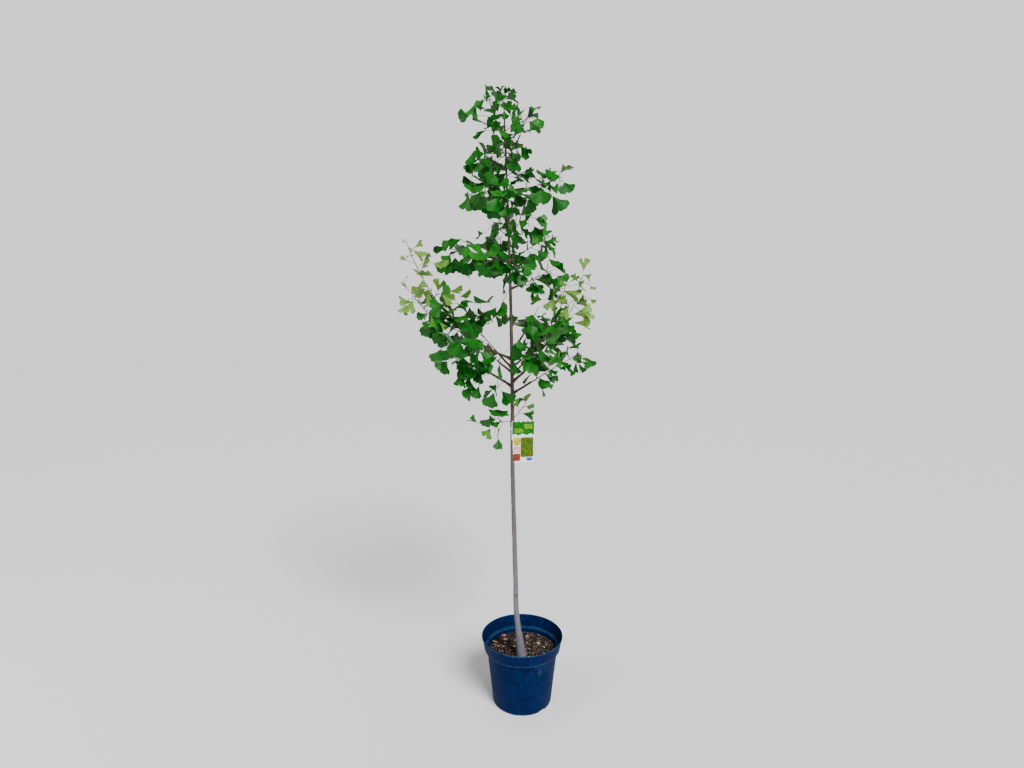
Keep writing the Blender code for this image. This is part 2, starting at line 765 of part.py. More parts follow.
def trunk_clearance():
    """The trunk's shape grown by the clearance, for cutting what meets it."""
    heights = trunk_heights()
    centres = [trunk_at(height) for height in heights]
    radii = [trunk_radius(height) + GAP for height in heights]
    return closed_object("trunk_clearance", lambda mesh: add_limb(mesh, centres, radii, TRUNK_SIDES))


def standing_shape(crown, piece):
    """Search tree of an object that stands already."""
    return crown.search_tree(lambda mesh: mesh.from_mesh(piece.data))


def build_crown(cutter, label):
    """All the boughs and masses, clear of the trunk and the label."""
    crown = Crown()
    crown.keep(standing_shape(crown, cutter), "trunk")
    crown.keep(standing_shape(crown, label), "label")
    masses = []
    for shoot in (*SHOOTS, LEADER):
        root = trunk_at(shoot.height) + (UP * GAP if shoot is LEADER else Vector())
        curve = shoot_curve(root, shoot.reach, shoot.rise, shoot.bearing, shoot.climb)
        runs = LONG_STEM_RUNS if shoot.reach + abs(shoot.rise) > LONG_STEM else SHORT_STEM_RUNS
        mass = Mass(shoot, crown)
        if shoot.bare:
            bough = limb_points(curve, 0.0, shoot.bare, BOUGH_RUNS)
            build_bough(shoot, bough, cutter, crown)
            stem = stem_beyond(bough, curve, shoot.bare, runs)
        else:
            stem = limb_points(curve, 0.0, 1.0, runs)
        mass.add_stems(stem, shoot.radius * blend(1.0, TIP_TAPER, shoot.bare))
        masses.append(mass)
    for mass in masses:
        mass.grow()
    for mass in masses:
        mass.build(None if mass.shoot.bare or mass.shoot is LEADER else cutter)


# Pot, potting mix and trunk

def turned_rings(mesh, profile):
    """Closed shape turned from radii and heights, and its rings of corners."""
    rings = []
    for radius, height in profile:
        frame = Matrix.Translation((0.0, 0.0, height))
        circle = bmesh.ops.create_circle(mesh, segments=POT_SIDES, radius=radius, matrix=frame)
        rings.append(circle["verts"])
    bridge_rings(mesh, rings)
    return rings


def build_pot():
    """Tub turned from its profile, with drain notches cut into its foot."""
    neck = POT_HEIGHT - COLLAR_HEIGHT
    outer = [
        (POT_BASE_RADIUS - POT_BASE_ROUND, 0.0),
        (POT_BASE_RADIUS - 0.3 * POT_BASE_ROUND, 0.3 * POT_BASE_ROUND),
        (POT_BASE_RADIUS, POT_BASE_ROUND),
        (POT_NECK_RADIUS, neck - POT_BASE_ROUND),
        (POT_NECK_RADIUS + POT_LEDGE / 2.0, neck),
        (COLLAR_FOOT_RADIUS, neck + POT_LEDGE / 2.0),
        (RIM_RADIUS - RIM_LIP, POT_HEIGHT - RIM_LIP_HEIGHT),
        (RIM_RADIUS, POT_HEIGHT - 0.7 * RIM_LIP_HEIGHT),
        (RIM_RADIUS, POT_HEIGHT),
    ]
    inner = [
        (RIM_RADIUS - 1.5 * POT_WALL, POT_HEIGHT),
        (COLLAR_FOOT_RADIUS - POT_WALL, neck + 2.0 * POT_LEDGE),
        (POT_NECK_RADIUS - POT_WALL, neck + POT_LEDGE),
        (POT_BASE_RADIUS - POT_WALL, POT_FLOOR + POT_FLOOR_ROUND),
        (POT_BASE_RADIUS - POT_BASE_ROUND, POT_FLOOR),
    ]

    pot = closed_object("pot", lambda mesh: turned_rings(mesh, outer + inner))
    for index in range(DRAIN_COUNT):
        bearing = DRAIN_FIRST_BEARING + 360.0 / DRAIN_COUNT * index
        notch = closed_object("notch", lambda mesh: add_notch(mesh, bearing))
        apply_boolean(pot, "DIFFERENCE", cutter=notch)
        remove_object(notch)
    finish_joined(pot)
    set_material(pot, POT_LOOK)


def add_notch(mesh, bearing):
    """Arched cutter at the pot's foot."""
    flat = heading(bearing, 0.0)
    middle = flat * POT_BASE_RADIUS
    lie = Matrix.Rotation(math.radians(bearing), 4, "Z") @ Matrix.Rotation(math.radians(90.0), 4, "Y")
    stretch = Matrix.Diagonal((DRAIN_HEIGHT, DRAIN_WIDTH / 2.0, 1.0, 1.0))
    bmesh.ops.create_cone(mesh, cap_ends=True, segments=DRAIN_SIDES, radius1=1.0, radius2=1.0,
                          depth=DRAIN_DEPTH, matrix=Matrix.Translation(middle) @ lie @ stretch)


def build_soil():
    """Potting mix inside the pot, a little lower and uneven towards its wall."""
    neck = POT_HEIGHT - COLLAR_HEIGHT
    floor = POT_FLOOR + GAP
    inner_foot = POT_BASE_RADIUS - POT_WALL
    inner_neck = POT_NECK_RADIUS - POT_WALL
    foot_level = POT_FLOOR + POT_FLOOR_ROUND
    edge_level = SOIL_LEVEL - SOIL_EDGE_DROP
    share = (edge_level - foot_level) / (neck + POT_LEDGE - foot_level)
    edge = blend(inner_foot, inner_neck, share) - SOIL_WALL_GAP
    rng = random.Random(SOIL_SEED)
    profile = [
        (POT_BASE_RADIUS - POT_BASE_ROUND - 2.0 * SOIL_WALL_GAP, floor),
        (inner_foot - SOIL_WALL_GAP, foot_level + GAP),
        (edge, edge_level),
    ]
    for part in reversed(SOIL_RINGS):
        outward = max(0.0, part - SOIL_LEVEL_SHARE) / (1.0 - SOIL_LEVEL_SHARE)
        profile.append((edge * part, SOIL_LEVEL - SOIL_EDGE_DROP * outward))

    def fill(mesh):
        rings = turned_rings(mesh, profile)
        for ring, part in zip(rings[3:], reversed(SOIL_RINGS)):
            if part > SOIL_LEVEL_SHARE:
                for vertex in ring:
                    vertex.co.z += rng.uniform(-SOIL_RIPPLE, 0.5 * SOIL_RIPPLE)

    soil = closed_object("potting_mix", fill)
    set_material(soil, SOIL_LOOK)


def build_trunk():
    """Trunk from its flat cut on the potting mix to its tip."""
    heights = trunk_heights()
    points = [trunk_at(height) for height in heights]
    radii = [trunk_radius(height) for height in heights]

    def grow(mesh):
        add_limb(mesh, points, radii, TRUNK_SIDES)
        foot = heights[0]
        for vertex in mesh.verts:
            if vertex.co.z < foot + TRUNK_FOOT_DEPTH:
                vertex.co.z = foot

    trunk = closed_object("trunk", grow)
    trunk.data.shade_smooth()
    set_material(trunk, TRUNK_LOOK)


def label_outline():
    """Outline of the label's sheet, across and down from its top left corner."""
    width, height = LABEL_HEADER
    inset = (width - LABEL_CARD[0]) / 2.0
    foot = height + LABEL_CARD[1]
    step = width / LABEL_SCALLOPS
    top = []
    for index in range(LABEL_SCALLOPS):
        for turn in (0, 45, 90, 135):
            angle = math.radians(turn)
            across = step * (index + 0.5) - math.cos(angle) * step / 2.0
            top.append((across, -math.sin(angle) * LABEL_SCALLOP_DEPTH))
    right = [(width, 0.0), (width, height), (width - inset, height), (width - inset, foot)]
    left = [(inset, foot), (inset, height), (0.0, height)]
    return top + right + left


def build_label(cutter):
    """Hang label: its sheet in front of the trunk, joined to a strap cut clear of it."""
    trunk = trunk_at(STRAP_LEVEL)
    reach = trunk_radius(STRAP_LEVEL) + GAP + STRAP_THICKNESS
    place = Matrix.Translation(trunk) @ Matrix.Rotation(math.radians(LABEL_TURN), 4, "Z")

    def sheet(mesh):
        corners = []
        for across, down in label_outline():
            corner = Vector((LABEL_LEFT - trunk.x + across, -reach, LABEL_TOP - trunk.z - down))
            corners.append(mesh.verts.new(place @ corner))
        face = mesh.faces.new(corners)
        depth = place.to_3x3() @ Vector((0.0, LABEL_THICKNESS, 0.0))
        grown = bmesh.ops.extrude_face_region(mesh, geom=[face], use_keep_orig=True)
        moved = [item for item in grown["geom"] if isinstance(item, bmesh.types.BMVert)]
        bmesh.ops.translate(mesh, verts=moved, vec=depth)

    def strap(mesh):
        bmesh.ops.create_cone(mesh, cap_ends=True, segments=STRAP_SIDES, radius1=reach, radius2=reach,
                              depth=STRAP_WIDTH, matrix=Matrix.Translation(trunk))

    label = closed_object("hang_label", sheet)
    band = closed_object("strap", strap)
    apply_boolean(label, "UNION", cutter=band)
    remove_object(band)
    apply_boolean(label, "DIFFERENCE", cutter=cutter)
    finish_joined(label)
    set_material(label, LABEL_LOOK)
    return label


def main():
    """Empty the scene and build the plant."""
    for piece in list(bpy.data.objects):
        bpy.data.objects.remove(piece)
    build_pot()
    build_soil()
    build_trunk()
    cutter = trunk_clearance()
    label = build_label(cutter)
    build_crown(cutter, label)
    remove_object(cutter)


main()
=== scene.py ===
"""Looks of a potted young ginkgo: its pot, potting mix, bark, twigs, leaves and hang label.

Lengths are in metres, +Z is up and the front of the tree faces -Y. The crown grows by the
same seeded rule as its plainer solids, so each leaf stands where its solid does, and finer
twigs and leaves are added to it.
"""

import json
import logging
import math
import random
from dataclasses import dataclass, field
from enum import Enum
from typing import Any, Callable, Iterable, Sequence

import bpy
import numpy as np
from mathutils import Matrix, Vector, noise
from mathutils.bvhtree import BVHTree

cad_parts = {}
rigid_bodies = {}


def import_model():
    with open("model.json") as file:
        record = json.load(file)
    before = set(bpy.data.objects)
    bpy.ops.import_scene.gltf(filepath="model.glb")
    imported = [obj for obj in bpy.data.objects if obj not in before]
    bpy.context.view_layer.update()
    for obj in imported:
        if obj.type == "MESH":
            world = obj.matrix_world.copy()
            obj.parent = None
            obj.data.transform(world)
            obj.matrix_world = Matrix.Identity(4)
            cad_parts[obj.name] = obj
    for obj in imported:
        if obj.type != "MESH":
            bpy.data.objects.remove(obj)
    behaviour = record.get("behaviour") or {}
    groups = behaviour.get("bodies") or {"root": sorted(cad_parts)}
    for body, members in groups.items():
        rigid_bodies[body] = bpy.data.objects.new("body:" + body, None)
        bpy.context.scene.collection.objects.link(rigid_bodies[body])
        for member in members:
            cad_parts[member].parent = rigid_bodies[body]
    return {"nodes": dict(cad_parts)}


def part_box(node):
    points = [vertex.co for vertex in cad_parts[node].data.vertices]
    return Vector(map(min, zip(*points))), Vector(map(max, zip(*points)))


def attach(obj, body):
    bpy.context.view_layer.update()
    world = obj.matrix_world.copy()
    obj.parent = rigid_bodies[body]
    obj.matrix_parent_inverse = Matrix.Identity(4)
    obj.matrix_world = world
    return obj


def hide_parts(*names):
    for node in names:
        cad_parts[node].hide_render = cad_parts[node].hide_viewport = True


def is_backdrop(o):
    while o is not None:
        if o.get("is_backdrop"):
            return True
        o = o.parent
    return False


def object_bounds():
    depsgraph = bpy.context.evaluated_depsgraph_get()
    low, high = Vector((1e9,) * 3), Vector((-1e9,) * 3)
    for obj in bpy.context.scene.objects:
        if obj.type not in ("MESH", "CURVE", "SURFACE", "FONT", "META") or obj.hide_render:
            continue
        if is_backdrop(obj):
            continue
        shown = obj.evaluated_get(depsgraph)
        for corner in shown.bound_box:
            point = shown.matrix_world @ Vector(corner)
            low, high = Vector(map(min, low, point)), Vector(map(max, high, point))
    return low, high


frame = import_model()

LOG = logging.getLogger("ginkgo")
UP = Vector((0.0, 0.0, 1.0))
GAP = 0.0003
GOLDEN_ANGLE = math.radians(137.5)
MILLIMETRE = 0.001
BODY = "root"
WHOLE_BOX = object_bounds()

Piece = bpy.types.Object
Socket = bpy.types.NodeSocket
Pair = tuple[float, float]
Triple = tuple[float, float, float]
Colour = tuple[float, float, float, float]
Points = Sequence[Vector]
Curve = Callable[[float], Vector]
Shell = tuple[list[Vector], list[tuple[int, ...]]]
Line = tuple[list[Vector], list[float]]


# Small tools

def linear(colour: str) -> Colour:
    """Turn an sRGB hex colour to linear values."""
    values = [int(colour[start:start + 2], 16) / 255.0 for start in (1, 3, 5)]
    turned = [v / 12.92 if v <= 0.04045 else ((v + 0.055) / 1.055) ** 2.4 for v in values]
    return (*turned, 1.0)


def grey(value: float) -> Colour:
    """A grey by its linear value."""
    return (value, value, value, 1.0)


def add_node(tree: bpy.types.NodeTree, kind: str, settings: dict[Any, Any] | None = None) -> bpy.types.Node:
    """Add a shader node with its settings and links.

    Args:
        tree: The node tree.
        kind: The node's type name, without its ShaderNode prefix.
        settings: Its properties, and its inputs by value, by hex colour or by an output to
            link; "stops" sets a ramp, by hex colours or grey values.

    Returns:
        The new node.
    """
    node = tree.nodes.new("ShaderNode" + kind)
    for key, value in (settings or {}).items():
        if key == "stops":
            elements = node.color_ramp.elements
            for index, (place, colour) in enumerate(value):
                stop = elements[index] if index < 2 else elements.new(place)
                stop.position = place
                stop.color = grey(colour) if isinstance(colour, float) else linear(colour)
        elif isinstance(value, Socket):
            tree.links.new(value, node.inputs[key])
        elif isinstance(key, str) and hasattr(node, key):
            setattr(node, key, value)
        else:
            node.inputs[key].default_value = linear(value) if isinstance(value, str) else value
    return node


def blend(low: float, high: float, share: float) -> float:
    """Value between low and high."""
    return low + (high - low) * share


def heading(bearing: float, climb: float) -> Vector:
    """Unit vector at a bearing round the trunk and a climb, in degrees."""
    turn = math.radians(bearing)
    lift = math.radians(climb)
    flat = math.cos(lift)
    return Vector((math.cos(turn) * flat, math.sin(turn) * flat, math.sin(lift)))


def random_unit(rng: random.Random) -> Vector:
    """Random direction."""
    turn = rng.uniform(0.0, math.tau)
    height = rng.uniform(-1.0, 1.0)
    flat = math.sqrt(1.0 - height * height)
    return Vector((flat * math.cos(turn), flat * math.sin(turn), height))


def select_only(piece: Piece | None) -> None:
    """Leave one object, or none, selected and active."""
    if bpy.context.mode != "OBJECT":
        bpy.ops.object.mode_set(mode="OBJECT")
    for other in bpy.context.scene.objects:
        other.select_set(other is piece)
    bpy.context.view_layer.objects.active = piece


def edit_all(piece: Piece) -> None:
    """Open a piece in edit mode with all of its mesh selected."""
    select_only(piece)
    bpy.ops.object.mode_set(mode="EDIT")
    bpy.ops.mesh.select_all(action="SELECT")


def clean_faces(piece: Piece, merge_within: float = 0.0) -> None:
    """Join a piece's corners that lie within a distance, and turn its faces outwards."""
    edit_all(piece)
    if merge_within:
        bpy.ops.mesh.remove_doubles(threshold=merge_within)
    bpy.ops.mesh.normals_make_consistent(inside=False)
    bpy.ops.object.mode_set(mode="OBJECT")


def link_new(name: str, data: bpy.types.ID) -> Piece:
    """New object in the scene, from its data."""
    piece = bpy.data.objects.new(name, data)
    bpy.context.scene.collection.objects.link(piece)
    return piece


def apply_modifier(piece: Piece, kind: str, **settings: Any) -> None:
    """Add a modifier to a piece and apply it."""
    select_only(piece)
    modifier = piece.modifiers.new(kind.lower(), kind)
    for key, value in settings.items():
        setattr(modifier, key, value)
    bpy.ops.object.modifier_apply(modifier=modifier.name)


def round_edges(piece: Piece, width: float) -> None:
    """Round a piece's sharp edges by a width."""
    apply_modifier(piece, "BEVEL", width=width, segments=2, limit_method="ANGLE",
                   angle_limit=math.radians(50.0))


def settle(piece: Piece, smooth_below: float | None = None) -> Piece:
    """Put a piece's place into its mesh, and smooth its faces that meet within an angle in degrees."""
    select_only(piece)
    bpy.ops.object.transform_apply(location=True, rotation=True, scale=True)
    if smooth_below is not None:
        bpy.ops.object.shade_smooth_by_angle(angle=math.radians(smooth_below))
    select_only(None)
    return piece


def hand_over(piece: Piece, nodes: Iterable[str] = ()) -> None:
    """Let a piece ride on the body and stand for solids, which it hides."""
    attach(piece, BODY)
    names = list(nodes)
    if names:
        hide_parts(*names)
    LOG.info("%s: %d faces for %d solids", piece.name, len(piece.data.polygons), len(names))


def discard(piece: Piece) -> None:
    """Remove a helper object and its mesh."""
    data = piece.data
    bpy.data.objects.remove(piece)
    bpy.data.meshes.remove(data)


# Finishes

class Graph:
    """Shader nodes of one finish; each call adds one node and gives its output."""

    def __init__(self, tree: bpy.types.NodeTree, shader: bpy.types.Node) -> None:
        """Start from the shader and the piece's own coordinates."""
        self.tree = tree
        self.shader = shader
        where = add_node(tree, "TexCoord")
        self.place = where.outputs["Object"]
        self.map = where.outputs["UV"]

    def add(self, kind: str, settings: dict[Any, Any], output: str | int = 0) -> Socket:
        """Any node, by its settings and links, and one of its outputs."""
        return add_node(self.tree, kind, settings).outputs[output]

    def noise(self, size: float, detail: float, roughness: float = 0.5, distortion: float = 0.0) -> Socket:
        """Cloudy noise whose clouds have a size in millimetres."""
        return self.add("TexNoise", {"Scale": 1.0 / (size * MILLIMETRE), "Detail": detail,
                                     "Roughness": roughness, "Distortion": distortion, "Vector": self.place},
                        "Fac")

    def stretched(self, size: float, across: float, along_z: float) -> Socket:
        """The piece's coordinates for a pattern of a size in millimetres, stretched by shares."""
        scale = 1.0 / (size * MILLIMETRE)
        return self.add("Mapping", {"Scale": (scale * across, scale * across, scale * along_z),
                                    "Vector": self.place})

    def unit_noise(self, place: Socket, detail: float, roughness: float) -> Socket:
        """Noise over coordinates that are scaled already."""
        return self.add("TexNoise", {"Scale": 1.0, "Detail": detail, "Roughness": roughness,
                                     "Vector": place}, "Fac")

    def ramp(self, value: Socket, *stops: tuple[float, str | float]) -> Socket:
        """Colour by a value."""
        return self.add("ValToRGB", {"stops": stops, "Fac": value})

    def math(self, operation: str, first: Any, second: Any = 0.0, clamp: bool = False) -> Socket:
        """One operation on two values."""
        return self.add("Math", {"operation": operation, "use_clamp": clamp, 0: first, 1: second})

    def mix(self, share: Any, first: Any, second: Any) -> Socket:
        """First colour, with a share of the second."""
        return self.add("Mix", {"data_type": "RGBA", "Factor": share, "A": first, "B": second}, "Result")

    def spread(self, value: Socket, start: float, end: float, low: float,
               high: float) -> Socket:
        """A value's range turned into another."""
        return self.add("MapRange", {"From Min": start, "From Max": end, "To Min": low, "To Max": high,
                                     "Value": value})

    def bump(self, height: Socket, strength: float, depth: float,
             under: Socket | None = None) -> Socket:
        """Fine relief from a pattern, its depth in millimetres."""
        settings = {"Strength": strength, "Distance": depth * MILLIMETRE, "Height": height}
        if under is not None:
            settings["Normal"] = under
        return self.add("Bump", settings)

    def finish(self, colour: Socket, relief: Socket) -> None:
        """Give the shader its colour and relief."""
        self.tree.links.new(colour, self.shader.inputs["Base Color"])
        self.tree.links.new(relief, self.shader.inputs["Normal"])


@dataclass(frozen=True)
class Finish:
    """A material that starts from one Principled shader."""

    name: str
    roughness: float
    ior: float = 1.46
    shine: float = 0.5

    def dress(self, graph: Graph) -> None:
        """Add the finish's own nodes; each kind of finish has its own."""
        raise NotImplementedError

    def build(self) -> bpy.types.Material:
        """Make the material, or return it if it is made already."""
        made = bpy.data.materials.get(self.name)
        if made is not None:
            return made
        material = bpy.data.materials.new(self.name)
        material.use_nodes = True
        tree = material.node_tree
        tree.nodes.clear()
        shader = add_node(tree, "BsdfPrincipled", {"Roughness": self.roughness, "IOR": self.ior,
                                                   "Specular IOR Level": self.shine})
        add_node(tree, "OutputMaterial", {"Surface": shader.outputs["BSDF"]})
        self.dress(Graph(tree, shader))
        return material


@dataclass(frozen=True)
class LeafFinish(Finish):
    """Living leaf with a waxy cuticle: patches in it, and fine ribs from its foot to its rim.

    The ribs across a blade are drawn fewer than the real 0.6 mm ones, so that they show.
    """

    shade: str = "#0a4a08"
    light: str = "#1d6a18"
    rib: str = "#2f7a26"
    ribs: float = 26.0
    patch: float = 38.0

    def dress(self, graph: Graph) -> None:
        """Patches by place in the crown, and ribs along the blade's own map."""
        patches = graph.noise(self.patch, 3.0, 0.6)
        ground = graph.ramp(patches, (0.32, self.shade), (0.68, self.light))
        across = graph.add("SeparateXYZ", {"Vector": graph.map}, "X")
        wave = graph.math("SINE", graph.math("MULTIPLY", across, self.ribs * math.pi))
        ridge = graph.math("ABSOLUTE", wave)
        share = graph.math("MULTIPLY", graph.math("POWER", ridge, 6.0), 0.22)
        graph.finish(graph.mix(share, ground, self.rib), graph.bump(ridge, 0.35, 0.4))


@dataclass(frozen=True)
class BarkFinish(Finish):
    """Young bark, its colour by height: thin, finely cracked along the limb, with raised pores across it.

    The cracks' grain is in millimetres, and turn_low and turn_high are heights.
    """

    low: str = "#8f8a90"
    high: str = "#5e5040"
    crack: str = "#39302a"
    pore: str = "#b3aca6"
    turn_low: float = 0.35
    turn_high: float = 0.95
    grain: float = 2.4

    def dress(self, graph: Graph) -> None:
        """Colour by height, cracks stretched along the limb, pores and dark nodes."""
        height = graph.add("SeparateXYZ", {"Vector": graph.place}, "Z")
        rise = graph.spread(height, self.turn_low, self.turn_high, 0.0, 1.0)
        ground = graph.mix(rise, self.low, self.high)
        cracks = graph.unit_noise(graph.stretched(self.grain, 1.0, 0.12), 4.0, 0.65)
        dark = graph.ramp(cracks, (0.30, 0.75), (0.52, 0.0))
        cracked = graph.mix(dark, ground, self.crack)
        pores = graph.add("TexVoronoi", {"Scale": 1.0, "Randomness": 1.0,
                                         "Vector": graph.stretched(self.grain, 0.16, 0.5)}, "Distance")
        spot = graph.ramp(pores, (0.10, 0.7), (0.20, 0.0))
        spotted = graph.mix(spot, cracked, self.pore)
        node_mark = graph.add("Attribute", {"attribute_name": "node_mark"}, "Fac")
        graph.finish(graph.mix(node_mark, spotted, self.crack), graph.bump(cracks, 0.5, 0.5))


@dataclass(frozen=True)
class GrownSkin(Finish):
    """Smooth green or brown skin of twigs, petioles and buds; the grain of its streaks is in millimetres."""

    base: str = "#5a4a38"
    streak: str = "#3a2c22"
    grain: float = 3.0

    def dress(self, graph: Graph) -> None:
        """Streaks from one noise, which also gives a slight relief."""
        streaks = graph.noise(self.grain, 2.0)
        colour = graph.ramp(streaks, (0.35, self.streak), (0.6, self.base))
        graph.finish(colour, graph.bump(streaks, 0.25, 0.3))


@dataclass(frozen=True)
class ScuffedPolypropylene(Finish):
    """Moulded polypropylene, weathered: cloudy dull patches, fine scratches, and pale bands at its edges that
    are partly wear and partly painted highlight where the rim, the collar step and the inner ledge catch the
    light.
    """

    deep: str = "#020f38"
    dull: str = "#04214b"
    wear_and_highlight: str = "#264666"
    cloud: float = 24.0
    scratch: float = 4.0
    # Heights and half widths of pale bands: partly wear, partly painted highlight of edges that catch the
    # light
    edges: tuple[Pair, ...] = ()
    scraped: tuple[Triple, float] = ((0.062, -0.104, 0.168), 0.034)

    def dress(self, graph: Graph) -> None:
        """Clouds, upright scratches, and pale edge bands that are partly painted highlight, each from its own
        real size.
        """
        clouds = graph.noise(self.cloud, 5.0, 0.62, 0.6)
        ground = graph.ramp(clouds, (0.34, self.deep), (0.72, self.dull))
        scratches = graph.unit_noise(graph.stretched(self.scratch, 1.0, 0.06), 3.0, 0.7)
        thin = graph.ramp(scratches, (0.62, 0.0), (0.74, 0.9))
        colour = graph.mix(graph.math("MULTIPLY", thin, clouds), ground, self.wear_and_highlight)
        middle, reach = self.scraped
        away = graph.add("VectorMath", {"operation": "DISTANCE", 0: graph.place, 1: middle}, "Value")
        near = graph.spread(away, reach, 0.4 * reach, 0.0, 1.0)
        scrapes = graph.ramp(scratches, (0.54, 0.0), (0.60, 0.8))
        colour = graph.mix(graph.math("MULTIPLY", near, scrapes, True), colour, self.wear_and_highlight)
        height = graph.add("SeparateXYZ", {"Vector": graph.place}, "Z")
        broken = graph.ramp(clouds, (0.36, 0.2), (0.56, 1.0))
        # Pale bands at given heights, broken by the clouds: partly wear, partly painted highlight where the
        # rim, the collar step and the inner ledge catch the light
        for level, half in self.edges:
            far = graph.math("ABSOLUTE", graph.math("SUBTRACT", height, level))
            edge = graph.math("MULTIPLY", graph.spread(far, half, 0.0, 0.0, 1.1), broken, True)
            colour = graph.mix(edge, colour, self.wear_and_highlight)
        gloss = graph.spread(clouds, 0.0, 1.0, self.roughness - 0.12, self.roughness + 0.22)
        graph.tree.links.new(gloss, graph.shader.inputs["Roughness"])
        fine = graph.bump(graph.noise(1.6, 2.0), 0.12, 0.3)
        graph.finish(colour, graph.bump(clouds, 0.35, 2.0, fine))


@dataclass(frozen=True)
class LooseGround(Finish):
    """Peat, bark or stone: dry matter of mixed grains of a size in millimetres, dull all over."""

    dark: str = "#060403"
    middle: str = "#181412"
    pale: str = "#4b443e"
    grain: float = 3.0

    def dress(self, graph: Graph) -> None:
        """Grains as a cell pattern, broken by noise."""
        cells = graph.add("TexVoronoi", {"Scale": 1.0 / (self.grain * MILLIMETRE), "Randomness": 1.0,
                                         "Vector": graph.place}, "Color")
        rough = graph.noise(self.grain * 2.0, 5.0, 0.7)
        mixed = graph.math("MULTIPLY", graph.add("SeparateColor", {"Color": cells}, "Red"), rough)
        colour = graph.ramp(mixed, (0.08, self.dark), (0.42, self.pale),
                            (0.26, self.middle))
        graph.finish(colour, graph.bump(rough, 0.8, 1.2))


@dataclass(frozen=True)
class PrintedFilm(Finish):
    """Printed polypropylene sheet: a smooth film with soft blots of ink, of a size in millimetres."""

    ink: str = "#f2f5f2"
    second: str = "#f2f5f2"
    third: str = "#e6eaf0"
    blot: float = 6.0

    def dress(self, graph: Graph) -> None:
        """Two sizes of blots over the main ink."""
        broad = graph.noise(self.blot, 2.0, 0.6)
        first = graph.ramp(broad, (0.46, self.ink), (0.56, self.second))
        small = graph.ramp(graph.noise(self.blot / 2.3, 1.0), (0.58, 0.0), (0.64, 1.0))
        graph.finish(graph.mix(small, first, self.third), graph.bump(broad, 0.1, 0.5))


class Tone(Enum):
    """Ages of leaf, each with its own pair of finishes, dealt out by spray."""

    DEEP = 0
    MID = 1
    FRESH = 2
    YOUNG = 3


DEEP, MID, FRESH, YOUNG = Tone

# An upper and an under finish for each age, in the order of Tone
LEAF_FINISHES = tuple(LeafFinish(name, roughness, shine=shine, shade=shade, light=light, rib=rib)
                      for name, roughness, shine, shade, light, rib in (
    ("waxy leaf, deep green", 0.46, 0.30, "#014402", "#0e6a08", "#166c0e"),
    ("leaf underside, blue green", 0.62, 0.20, "#105a26", "#267a40", "#36884e"),
    ("waxy leaf, mid green", 0.44, 0.32, "#0b5806", "#267c18", "#2a7e1a"),
    ("leaf underside, grey green", 0.62, 0.20, "#1e6926", "#3c883e", "#509850"),
    ("waxy leaf, fresh green", 0.46, 0.30, "#2a6a0c", "#568f2c", "#589430"),
    ("leaf underside, pale green", 0.62, 0.20, "#40802c", "#689c4a", "#78a85a"),
    ("soft young leaf, yellow green", 0.50, 0.30, "#4c7a18", "#7ca44c", "#749c48"),
    ("young leaf underside", 0.62, 0.20, "#5c8836", "#86a858", "#92b264"),
))
TRUNK_BARK = BarkFinish("young trunk bark", 0.75, low="#6b6c73", high="#544738", pore="#4c474a")
BOUGH_BARK = BarkFinish("bough bark", 0.8, low="#4a3a2f", high="#44342a", crack="#241b16", pore="#8a7a6c",
                        grain=1.8)
TWIG_SKIN = GrownSkin("twig skin", 0.65, shine=0.3)
PETIOLE_SKIN = GrownSkin("leaf stalk skin", 0.55, shine=0.3, base="#4f7428", streak="#2f5216")
BUD_SKIN = GrownSkin("bud scales", 0.6, base="#4a3526", streak="#231912", grain=1.2)


def finish_off(piece: Piece, finish: Finish, smooth_below: float,
               nodes: Iterable[str] = ()) -> None:
    """Give a piece its one finish, shade it and hand it over."""
    piece.data.materials.append(finish.build())
    hand_over(settle(piece, smooth_below), nodes)


# Growth of the crown, by the same rule as its solids

@dataclass(frozen=True)
class Fork:
    """Second stem inside a mass, which leaves the first one at a share of its length."""

    at: float
    bearing: float
    reach: float
    rise: float
    climb: float
    on_stem: int


@dataclass(frozen=True)
class Shoot:
    """A limb that leaves the trunk and the mass of foliage that it carries.

    reach and rise say how far its tip lies from the trunk, out and up, and climb is
    the angle at which it leaves. Its first part, bare, is a bough of its own. The rest
    is the mass's stem, with twigs on its bushy part and single leaves up to its tip.
    """

    name: str
    height: float
    bearing: float
    reach: float
    rise: float
    climb: float
    radius: float
    twigs: int
    twig_length: float
    on_stem: int
    leaf: float
    young: float
    droop: float
    seed: int
    bare: float = 0.0
    bushy: float = 1.0
    forks: tuple[Fork, ...] = ()


